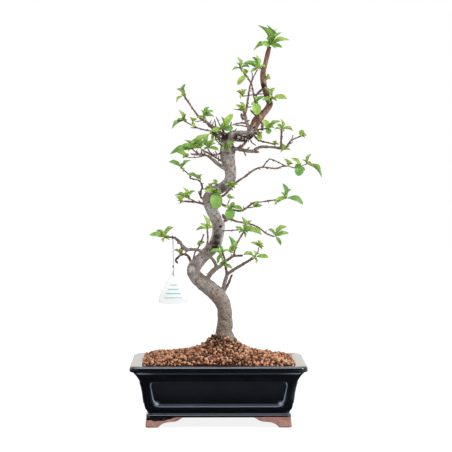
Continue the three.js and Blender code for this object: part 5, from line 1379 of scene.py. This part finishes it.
class BONSAI_OT_wood(bpy.types.Operator):
    """Grow the trunk, leader and branches as one skin of bark, and the roots, twigs and buds on it"""
    bl_idname = "bonsai.wood"
    bl_label = "Wood"

    def execute(self, context):
        settings = context.scene.bonsai_wood
        bark = bark_material(settings)
        limbs = limb_tree()
        thick = [branch_rows(*branch) for branch in THICK_BRANCHES]
        spurs = spur_rows(THICK_BRANCHES + THIN_BRANCHES, random.Random(SPUR_SEED))
        thin = [branch_rows(*branch) for branch in THIN_BRANCHES + STUBS + spurs]
        roots = [branch_rows(*root) for root in ROOTS]
        pieces = []
        for name, lines, sides, step, knuckle, unevenness in (
                ("trunk_wood", [TRUNK, LEADER, *thick], 20, 1.5, 0.12, 0.25),
                ("twig_wood", thin, 9, 1.1, 0.35, 0.3), ("root_wood", roots, 14, 2.5, 0.1, 0.5)):
            pieces.append(limb_lines(name, lines))
            add_tree(pieces[-1], limbs, sides=sides, step=step * MM, knuckle=knuckle,
                     unevenness=unevenness, material=bark)
        trunk = pieces[0]
        skin_over(trunk, settings.voxel, TRUNK_EASING)
        self.shape_scars(trunk.data)
        add_tree(trunk, relief_tree(), relief=settings.relief, material=bark)
        pieces.append(limb_lines("twig_buds", thick[1:] + thin))
        add_tree(pieces[-1], bud_tree(), material=bark)
        for piece in pieces:
            self.age(piece.data)
            finish_piece(piece, "tree_wood")
        return {"FINISHED"}

    def shape_scars(self, mesh):
        """Knots with a rim and a dark heart, hollows and swellings, and values for their colour, the darkness
        partly painted shade.
        """
        points = mesh_points(mesh)
        normals = np.empty(points.size, dtype=np.float32)
        mesh.vertex_normals.foreach_get("vector", normals)
        push, pale, dark, rough = (np.zeros(len(points)) for _ in range(4))
        for place, reach in KNOTS:
            distance = np.linalg.norm(points - place, axis=1) / reach
            rim, heart = bell(distance - 0.75, 0.3), bell(distance, 0.5)
            push += 0.26 * reach * rim - 0.3 * reach * heart
            dark = np.maximum(dark, 1.3 * heart)
            pale = np.maximum(pale, 0.3 * rim)
        for place, reach, height, paleness, darkness, roughness in PATCHES:
            near = bell(np.linalg.norm(points - place, axis=1), reach)
            push += height * near
            pale = np.maximum(pale, paleness * near)
            dark = np.maximum(dark, darkness * near)
            rough = np.maximum(rough, roughness * near)
        move_points(mesh, points + normals.reshape(-1, 3).astype(float) * push[:, None])
        set_values(mesh, pale=pale, dark=dark, rough=rough)

    def age(self, mesh):
        """How young the bark is at each point, the thinner the younger, and how warm its tone is."""
        limbs = [np.array(finer_rows(rows)) for rows in all_limbs()]
        samples = np.concatenate(limbs)
        leading = np.concatenate([np.full(len(rows), float(i == 1)) for i, rows in enumerate(limbs)])
        leading *= smoothstep(samples[:, 2], LEADER[WARM_START][2] - 10, LEADER[WARM_START][2] + 4)
        points = mesh_points(mesh)
        nearest = np.empty(len(points), int)
        for start in range(0, len(points), CHUNK):
            part = points[start:start + CHUNK]
            gaps = ((part ** 2).sum(axis=1)[:, None] + (samples[:, :3] ** 2).sum(axis=1)
                    - 2 * part @ samples[:, :3].T)
            gaps = np.abs(np.sqrt(np.maximum(gaps, 0)) - samples[:, 3])
            nearest[start:start + CHUNK] = gaps.argmin(axis=1)
        set_values(mesh, youth=1 - smoothstep(samples[nearest, 3], *YOUNG_RADII), warm=leading[nearest])


def blade_mesh(name, outline, arch, fold, ripple, curl, thickness, bud):
    """An unlinked leaf of unit length along +Y and unit width, closed, with its face towards +Z."""
    stations, across = 10, (-1, -0.5, 0, 0.5, 1)
    vertices, places, under = [], [], []
    for layer in (0, 1):
        for i in range(stations + 1):
            t = i / stations
            wide = blade_width(t, *outline)
            for u in across if layer == 0 else (0,):
                rise = arch * math.sin(math.pi * t) + fold * abs(u) ** 1.4 * wide - curl * t ** 3
                rise += ripple * u * math.sin(3.5 * math.pi * t + 1.5 * u) * wide - layer * thickness
                vertices.append((0.5 * u * wide, t, rise))
                places.append((u * wide, t, 0.0))
                under.append(float(layer))
    wide = len(across)
    below = (stations + 1) * wide
    faces = []
    for i in range(stations):
        for j in range(wide - 1):
            top = i * wide + j
            faces.append((top, top + 1, top + wide + 1, top + wide))
        left, right, keel = i * wide, i * wide + wide - 1, below + i
        faces += [(left, left + wide, keel + 1, keel), (keel, keel + 1, right + wide, right)]
    last = stations * wide
    faces += [(below, *range(wide - 1, -1, -1)), (*range(last, last + wide), below + stations)]
    mesh = bpy.data.meshes.new(name)
    mesh.from_pydata(vertices, [], faces)
    mesh.shade_smooth()
    rims = {i * wide + side for i in range(stations + 1) for side in (0, wide - 1)}
    for edge in mesh.edges:
        edge.use_edge_sharp = rims.issuperset(edge.vertices)
    set_values(mesh, blade_place=places, underside=under, bud_scale=np.full(len(vertices), bud))
    return bpy.data.objects.new(name, mesh)


def blade_width(t, stalk, rise, fall):
    """Width of a pointed leaf on a thin stalk at a share of its length, as a share of its greatest width."""
    if t < stalk:
        return 0.1
    u = (t - stalk) / (1 - stalk)
    peak = rise / (rise + fall)
    greatest = peak ** rise * (1 - peak) ** fall
    return max(0.1 * (1 - u) + 0.02, u ** rise * (1 - u) ** fall / greatest)


def leaf_material(settings):
    """Young quince leaves, thin and soft, with a finely toothed edge.

    They give the eye a fresh, light green with a paler rib and side veins, a satin upper face and a duller,
    paler underside.
    """
    material, node, _, under, scale, mottle = new_material(
        "young_quince_leaf", ("underside", "bud_scale"), ((120.0, 2.0),))
    parts, tones = (
        node("ShaderNodeSeparateXYZ", node("ShaderNodeAttribute", attribute_name=name)["Vector"])
        for name in ("blade_place", "leaf_tint"))
    aside = node("ShaderNodeMath", parts["X"], operation="ABSOLUTE")
    wave = aside
    for operation, other in (("MULTIPLY", -0.28), ("ADD", parts["Y"]), ("MULTIPLY", VEINS),
                             ("PINGPONG", 1.0)):
        wave = node("ShaderNodeMath", wave, other, operation=operation)
    rib = node("ShaderNodeMapRange", aside, 0.0, 0.1, 1.0, 0.0, **SMOOTH)
    veins = node("ShaderNodeMapRange", wave, 0.0, 0.3, 0.6, 0.0, **SMOOTH)
    lines = node("ShaderNodeMath", rib, veins, operation="MAXIMUM")
    veined, duller = (node("ShaderNodeMath", part, share, operation="MULTIPLY")
                      for part, share in ((lines, 0.14), (under, 0.45)))
    leaf = coats(node, settings.deep, (settings.fresh, tones["X"]), (settings.golden, tones["Y"]),
                 # The lighter margins are a painted glow of light through the thin edges.
                 ("#93b65c", aside, 0.55, 1.0, 0.0, 0.25), ("#5f9a3c", mottle, 0.4, 0.7, 0.0, 0.1),
                 ("#a9c677", veined), ("#b3c894", duller), ("#8d5a3f", scale))
    shade(node, Base_Color=leaf, Specular_IOR_Level=0.25,
          Roughness=node("ShaderNodeMapRange", under, 0.0, 1.0, 0.5, 0.7, **SMOOTH))
    return material


class BONSAI_OT_leaves(bpy.types.Operator):
    """Set every spray of young leaves on its twig"""
    bl_idname = "bonsai.leaves"
    bl_label = "Leaves"

    def execute(self, context):
        settings = context.scene.bonsai_leaf
        material = leaf_material(settings)
        blades = self.blades(settings.thickness)
        tree = spray_tree()
        draw = random.Random(LEAF_SEED)
        for name, (hub, *leaves) in SPRAYS.items():
            spray = self.points("spray_" + name, hub, self.rows(leaves, settings.inner_leaves, draw))
            add_tree(spray, tree, blades=blades, material=material)
            finish_piece(spray, "leaves_" + name)
        return {"FINISHED"}

    def blades(self, thickness):
        """The kinds of leaf: three usual ones, a broad one, a narrow one, a half-open one and a bud scale."""
        blades = bpy.data.collections.new("Blades")
        for i, (outline, arch, fold, ripple, curl, thicker, bud) in enumerate((
                ((0.12, 0.62, 0.66), 0.09, 0.2, 0.03, 0.0, 1, 0.0),
                ((0.14, 0.75, 0.66), 0.1, 0.26, -0.05, 0.05, 1, 0.0),
                ((0.1, 0.58, 0.8), 0.06, 0.16, 0.06, 0.1, 1, 0.0),
                ((0.08, 0.5, 0.5), 0.07, 0.11, 0.04, 0.06, 1, 0.0),
                ((0.1, 0.7, 0.9), 0.1, 0.2, 0.05, 0.12, 1, 0.0),
                ((0.08, 0.6, 0.75), 0.07, 0.45, 0.0, -0.08, 1, 0.0),
                ((0.0, 0.5, 0.8), 0.1, 0.3, 0.0, 0.0, 4, 1.0))):
            blades.objects.link(
                blade_mesh(f"blade_{i}", outline, arch, fold, ripple, curl, thicker * thickness, bud))
        return blades

    def rows(self, leaves, inner, draw):
        """Each leaf of a spray as its way, facing, length, width, kind and tint."""
        rows = []
        for *way, facing, share in [(*leaf, BLADE_SHARE)[:5] for leaf in leaves]:
            size = math.sqrt(sum(part * part for part in way))
            width = max(size * share, LEAST_BLADE)
            kind = 5 if size < SHORT_BLADE else draw.choice((0, 1, 2))
            if share != BLADE_SHARE:
                kind = 3 if share > BLADE_SHARE else 4
            golden = 0.9 if size < SHORT_BLADE else 0.65 * draw.random()
            rows.append((way, facing, size, width, kind, (draw.random(), golden, 0)))
        x, y, z = (sum(leaf[i] for leaf in leaves) for i in range(3))
        mean = Vector((x, y - 6, z + 8)).normalized()
        for _ in range(inner):
            way = (mean + 1.1 * any_way(draw)).normalized()
            size = draw.uniform(5, 12)
            width = draw.uniform(0.22, 0.34) * size
            # Inner leaves take mostly the golden green, partly their own young tone and partly painted light
            # through them.
            tint = (draw.random(), draw.uniform(0.6, 1), 0)
            rows.append((way, draw.uniform(20, 70), size, width, 5, tint))
        for _ in range(SCALES):
            way = (0.6 * mean + any_way(draw)).normalized()
            rows.append((way, draw.uniform(0, 90), draw.uniform(2.6, 3.8), 1.7, 6, (0, 0, 0)))
        return rows

    def points(self, name, hub, rows):
        """One point for each leaf of a spray, with the values that place, turn, size and colour it."""
        along, face, sizes = [], [], []
        for way, facing, size, width, *_ in rows:
            reach = Vector(way).normalized()
            front = (Vector((0, -1, 0)) + reach * reach.y).normalized()
            upper = reach.cross(front)
            if upper.z < 0:
                upper.negate()
            angle = math.radians(facing)
            along.append(reach)
            face.append(upper * math.cos(angle) + front * math.sin(angle))
            sizes.append((width * MM, size * MM, size * MM))
        points = new_mesh_object(name, [hub] * len(rows), [])
        set_values(points.data, leaf_along=along, leaf_face=face, leaf_size=sizes,
                   leaf_tint=np.array([row[5] for row in rows], float), leaf_kind=[row[4] for row in rows])
        return points


def label_material(settings):
    """Injection-moulded white styrene, printed with plain ruled lines.

    It gives the eye a clean, faintly glossy white with thin blue-green lines to write on.
    """
    material, node, place, film = new_material("moulded_white_styrene", noises=((60.0, 2.0),))
    local = node("ShaderNodeMapping", Vector=place, Location=tuple(-to_frame(TAG_TOP)))
    parts = node("ShaderNodeSeparateXYZ", local)
    row = node("ShaderNodeMapRange", parts["Z"], -RULE_FIRST * MM, -RULE_LAST * MM, 0.0, RULES - 1.0)
    off = node("ShaderNodeMath", row, 0.5, operation="PINGPONG")
    room = node("ShaderNodeMath", parts["Z"], -RULE_SPREAD, -RULE_MARGIN * MM, operation="MULTIPLY_ADD")
    aside = node("ShaderNodeMath", parts["X"], operation="ABSOLUTE")
    spare = node("ShaderNodeMath", room, aside, operation="SUBTRACT")
    line = RULE_WIDTH * (RULES - 1) / (RULE_LAST - RULE_FIRST)
    limits = [node("ShaderNodeMapRange", value, *ramp, **SMOOTH) for value, *ramp in (
        (off, 0.5 * line, line, 1.0, 0.0), (parts["Z"], -(RULE_FIRST - RULE_WIDTH) * MM, -RULE_FIRST * MM),
        (parts["Z"], -(RULE_LAST + RULE_WIDTH) * MM, -RULE_LAST * MM), (spare, 0.0, 0.3 * MM))]
    ink = limits[0]
    for limit in limits[1:]:
        ink = node("ShaderNodeMath", ink, limit, operation="MULTIPLY")
    print_on = coats(node, settings.plastic, ("#e9e8e4", film, 0.35, 0.7, 0.0, 0.5), (settings.ink, ink))
    shade(node, (0.2, 0.1 * MM, film), Base_Color=print_on, Roughness=0.38)
    return material


def thread_material(settings):
    """Twisted black cotton thread.

    It gives the eye a dull black line with fine slanting strands.
    """
    material, node, _, strand = new_material("twisted_black_cotton", ("strand",))
    wave = node("ShaderNodeMath", strand, 1.0, operation="PINGPONG")
    cotton = coats(node, "#040404", (settings.thread, wave, 0.2, 0.9))
    shade(node, (0.3, 0.1 * MM, wave), Base_Color=cotton, Roughness=0.9, Specular_IOR_Level=0.1)
    return material


def smooth_path(points, per_span):
    """A Catmull-Rom curve through points, centripetal as in the model's source."""
    points = np.array(points, float)
    points = np.vstack([2 * points[0] - points[1], points, 2 * points[-1] - points[-2]])
    path = []
    for a, b, c, d in zip(points, points[1:], points[2:], points[3:]):
        t1 = np.linalg.norm(b - a) ** 0.5
        t2 = t1 + np.linalg.norm(c - b) ** 0.5
        t3 = t2 + np.linalg.norm(d - c) ** 0.5
        for t in np.linspace(t1, t2, per_span, endpoint=False):
            ab = (t1 - t) / t1 * a + t / t1 * b
            bc = (t2 - t) / (t2 - t1) * b + (t - t1) / (t2 - t1) * c
            cd = (t3 - t) / (t3 - t2) * c + (t - t2) / (t3 - t2) * d
            abc = (t2 - t) / t2 * ab + t / t2 * bc
            bcd = (t3 - t) / (t3 - t1) * bc + (t - t1) / (t3 - t1) * cd
            path.append((t2 - t) / (t2 - t1) * abc + (t - t1) / (t2 - t1) * bcd)
    return np.array(path + [points[-2]])


def thread_tube(path, radius, sides=10, twist=1.3):
    """A tube of twisted strands along a path, as points, faces and the strand that each point is on."""
    tangents = np.gradient(path, axis=0)
    tangents /= np.linalg.norm(tangents, axis=1)[:, None]
    lengths = np.concatenate([[0], np.cumsum(np.linalg.norm(np.diff(path, axis=0), axis=1))])
    side = np.cross(tangents[0], (0.3, 1, 0.2))
    rings, strands = [], []
    for place, tangent, along in zip(path, tangents, lengths):
        side = side - tangent * np.dot(side, tangent)
        side /= np.linalg.norm(side)
        other = np.cross(tangent, side)
        angles = np.arange(sides) / sides * 2 * math.pi
        turn = 3 * (angles - along * twist)
        reach = radius * (1 + 0.1 * np.cos(turn))
        rings.append(place + reach[:, None] * (
            np.cos(angles)[:, None] * side + np.sin(angles)[:, None] * other))
        strands += list(turn / math.pi)
    points, faces = loft(rings)
    return points, faces, strands + [0.0, 0.0]


class BONSAI_OT_label(bpy.types.Operator):
    """Hang the white label from its twig by a black thread"""
    bl_idname = "bonsai.label"
    bl_label = "Label and thread"

    def execute(self, context):
        settings = context.scene.bonsai_label
        path = smooth_path(STRING_ROUTE, 8)
        points, faces, strands = thread_tube(path, STRING_DIAMETER / 2)
        knot, knot_faces, knot_strands = thread_tube(self.knot_path(), 0.42 * STRING_DIAMETER, 8)
        faces += [tuple(i + len(points) for i in face) for face in knot_faces]
        thread = new_mesh_object("tag_thread", np.concatenate([points, knot]), faces)
        set_values(thread.data, strand=strands + knot_strands)
        thread.data.shade_smooth()
        tag = self.plate(settings)
        finish_piece(tag, "tag", label_material(settings))
        finish_piece(thread, "tag_string", thread_material(settings))
        return {"FINISHED"}

    def knot_path(self):
        """Two and a half tight turns of thread round itself, just above the label."""
        x, y, z = STRING_KNOT
        turns = np.linspace(0, 5 * math.pi, 60)
        reach = 0.95 * STRING_DIAMETER
        return np.column_stack([x + reach * np.cos(turns), y + reach * np.sin(turns),
                                z - 1.1 + turns / (5 * math.pi) * 2.2])

    def plate(self, settings):
        """A rounded triangle with a hole, its edges eased, bent a little as thin plastic bends."""
        half_base = TAG_WIDTH / 2 + 0.62 * TAG_CORNER
        corners = [np.array(c) for c in (
            (-half_base, -TAG_HEIGHT), (half_base, -TAG_HEIGHT), (0, 0.95 * TAG_CORNER))]
        outline = []
        for i, corner in enumerate(corners):
            start, stop = (corner + 2 * TAG_CORNER * (other - corner) / np.linalg.norm(other - corner)
                           for other in (corners[i - 1], corners[(i + 1) % 3]))
            outline += [bezier(start, corner, stop, t) for t in np.linspace(0, 1, 14)]
        angles = np.linspace(0, 2 * math.pi, 32, endpoint=False)
        hole = [(TAG_HOLE_RADIUS * math.sin(a), TAG_HOLE_RADIUS * math.cos(a) - TAG_HOLE_DROP)
                for a in angles]
        curve = bpy.data.curves.new("label_outline", "CURVE")
        curve.dimensions, curve.fill_mode = "2D", "BOTH"
        radius = settings.edge_radius
        curve.extrude = TAG_THICKNESS * MM / 2 - radius
        curve.bevel_depth, curve.offset, curve.bevel_resolution = radius, -radius, 2
        for loop in (outline, hole):
            spline = curve.splines.new("POLY")
            spline.points.add(len(loop) - 1)
            for spot, (x, z) in zip(spline.points, loop):
                spot.co = (x * MM, z * MM, 0, 1)
            spline.use_cyclic_u = True
        tag = link_new("tag_plate", curve)
        flat = bpy.data.meshes.new_from_object(tag.evaluated_get(bpy.context.evaluated_depsgraph_get()))
        bpy.data.objects.remove(tag)
        flat.name = "tag_plate"
        tag = link_new("tag_plate", flat)
        across, down, out = (mesh_points(flat) + MIDDLE / MM).T
        bend = TAG_BEND * ((across / (TAG_WIDTH / 2)) ** 2 + (down / TAG_HEIGHT) ** 2)
        x, y, z = TAG_TOP
        move_points(flat, np.column_stack([x + across, y - out + bend, z + down]))
        shape = bmesh.new()
        shape.from_mesh(flat)
        bmesh.ops.remove_doubles(shape, verts=shape.verts, dist=0.002 * MM)
        bmesh.ops.recalc_face_normals(shape, faces=shape.faces)
        shape.to_mesh(flat)
        shape.free()
        smooth_under(flat, 40)
        return tag


def screen_material():
    """Moulded polypropylene of the drainage screens.

    It gives the eye a plain, slightly waxy black.
    """
    material, node, _, grain = new_material("moulded_black_polypropylene", noises=((500.0, 3.0),))
    shade(node, Base_Color=coats(node, "#1b1d20", ("#2c2f33", grain, 0.4, 0.7)), Roughness=0.55)
    return material


class BONSAI_OT_screens(bpy.types.Operator):
    """Lay a net of crossed bars over each drainage hole"""
    bl_idname = "bonsai.screens"
    bl_label = "Drainage screens"

    def execute(self, context):
        tree, material = screen_tree(), screen_material()
        for name, side in (("left", -1), ("right", 1)):
            spot = (side * DRAIN_SPACING / 2, 0, FLOOR_TOP + GAP + SCREEN_BAR / 2)
            net = new_mesh_object("screen_" + name, [spot], [])
            add_tree(net, tree, material=material)
            finish_piece(net, "drainage_mesh_" + name)
        return {"FINISHED"}


class BONSAI_OT_stage(bpy.types.Operator):
    """Set up the pale floor, the soft studio light and the camera"""
    bl_idname = "bonsai.stage"
    bl_label = "Stage"

    def execute(self, context):
        settings = context.scene.bonsai_stage
        self.camera(context.scene)
        self.floor(settings)
        self.studio(context.scene, settings)
        self.lamps(settings.key)
        context.scene.view_settings.view_transform = "Standard"
        return {"FINISHED"}

    def camera(self, scene):
        lens = bpy.data.cameras.new("camera")
        lens.lens, lens.sensor_width, lens.sensor_fit = CAMERA_LENS, SENSOR_WIDTH, "AUTO"
        lens.clip_start, lens.clip_end = 0.05, 30
        scene.camera = link_new("camera", lens)
        scene.camera.location = to_frame(CAMERA_PLACE)
        scene.camera.rotation_euler = (math.radians(90 + CAMERA_PITCH), 0, math.radians(-CAMERA_YAW))

    def floor(self, settings):
        """A seamless pale floor that stays dark in the glaze, as a studio's black cards make it."""
        shape = bmesh.new()
        bmesh.ops.create_circle(shape, cap_ends=True, segments=64, radius=FLOOR_RADIUS)
        floor = link_new("floor", mesh_of(shape, "floor"))
        floor.location = (0, 0, FLOOR_LEVEL)
        material, node, place, fibres = new_material("matt_studio_paper", noises=((40.0, 3.0),))
        rays = node("ShaderNodeLightPath")
        paper = coats(node, settings.floor, ("#ffffff", fibres, 0.3, 0.7), ("#767676", rays["Is Camera Ray"]))
        glow = node("ShaderNodeMath", rays["Is Camera Ray"], 0.87, operation="MULTIPLY")
        shader = node("ShaderNodeBsdfPrincipled", Base_Color=paper, Roughness=0.9,
                      Emission_Color="#ffffff", Emission_Strength=glow)
        across = node("ShaderNodeSeparateXYZ", place)["X"]
        card = node("ShaderNodeMath", *(
            node("ShaderNodeMapRange", across, *ramp, **SMOOTH)
            for ramp in ((0.15, 0.45, 0.004, 0.8), (-0.9, -0.4, 0.3, 0.0))), operation="ADD")
        black = node("ShaderNodeEmission", card, 1.0)
        either = node("ShaderNodeMixShader", rays["Is Glossy Ray"], shader, black)
        node("ShaderNodeOutputMaterial", either)
        floor.data.materials.append(material)

    def studio(self, scene, settings):
        """White all round for the camera, even light, and reflections of a white wall behind and a soft light
        overhead, with a dark room in front."""
        world = bpy.data.worlds.new("studio")
        world.use_nodes = True
        world.node_tree.nodes.clear()
        node = partial(add, world.node_tree)
        rays = node("ShaderNodeLightPath")
        way = node("ShaderNodeSeparateXYZ", node("ShaderNodeTexCoord")["Generated"])
        seen = coats(node, (0.03, 0.03, 0.03), ((5.0, 5.8, 6.8), way["Z"], 0.6, 0.78),
                     ((1.2, 1.16, 1.1), way["Y"], -0.1, 0.35))
        wall = node("ShaderNodeMapRange", way["Y"], -0.3, 0.6, settings.ambient, settings.backdrop, **SMOOTH)
        reflected, even, white = (node("ShaderNodeBackground", colour, strength) for colour, strength in (
            (seen, 1.0), ("#ffffff", wall), ("#ffffff", 1.0)))
        light = node("ShaderNodeMixShader", rays["Is Glossy Ray"], even, reflected)
        shown = node("ShaderNodeMixShader", rays["Is Camera Ray"], light, white)
        node("ShaderNodeOutputWorld", shown)
        scene.world = world

    def lamps(self, key):
        """A long soft strip overhead in front, and a weaker soft light on each side."""
        for name, place, wide, high, power in (
                ("strip", (0.0, -1.3, 1.9), 2.6, 0.45, key), ("left", (-2.1, -1.0, 1.1), 1.0, 1.0, 0.5 * key),
                ("right", (2.1, -0.9, 1.0), 1.0, 1.0, 2.1 * key)):
            lamp = bpy.data.lights.new(name, "AREA")
            lamp.shape, lamp.size, lamp.size_y, lamp.energy = "RECTANGLE", wide, high, power
            lamp.color = LAMP_COLOUR
            light = link_new(name, lamp)
            light.location = place
            aim = Vector((0, 0, LAMP_AIM)) - light.location
            light.rotation_euler = aim.to_track_quat("-Z", "Y").to_euler()


class BONSAI_PT_parts(bpy.types.Panel):
    """Lists the pieces of the bonsai and their settings"""
    bl_idname = "BONSAI_PT_parts"
    bl_label = "Bonsai"
    bl_space_type = "VIEW_3D"
    bl_region_type = "UI"
    bl_category = "Bonsai"

    def draw(self, context):
        for operator in OPERATORS:
            self.layout.operator(operator.bl_idname)
        for name, kind in SETTINGS.items():
            column = self.layout.column(heading=name)
            for key in kind.__annotations__:
                column.prop(getattr(context.scene, name), key)


OPERATORS = (BONSAI_OT_stage, BONSAI_OT_label, BONSAI_OT_pot, BONSAI_OT_soil, BONSAI_OT_screens,
             BONSAI_OT_wood, BONSAI_OT_leaves)
CLASSES = (*SETTINGS.values(), *OPERATORS, BONSAI_PT_parts)


def register():
    for kind in CLASSES:
        bpy.utils.register_class(kind)
    for name, kind in SETTINGS.items():
        setattr(bpy.types.Scene, name, PointerProperty(type=kind))


def unregister():
    for name in SETTINGS:
        delattr(bpy.types.Scene, name)
    for kind in reversed(CLASSES):
        bpy.utils.unregister_class(kind)


def main():
    register()
    bpy.ops.bonsai.stage()
    bpy.ops.bonsai.label()
    bpy.ops.bonsai.pot()
    bpy.ops.bonsai.soil()
    bpy.ops.bonsai.screens()
    bpy.ops.bonsai.wood()
    bpy.ops.bonsai.leaves()


if __name__ == "__main__":
    main()
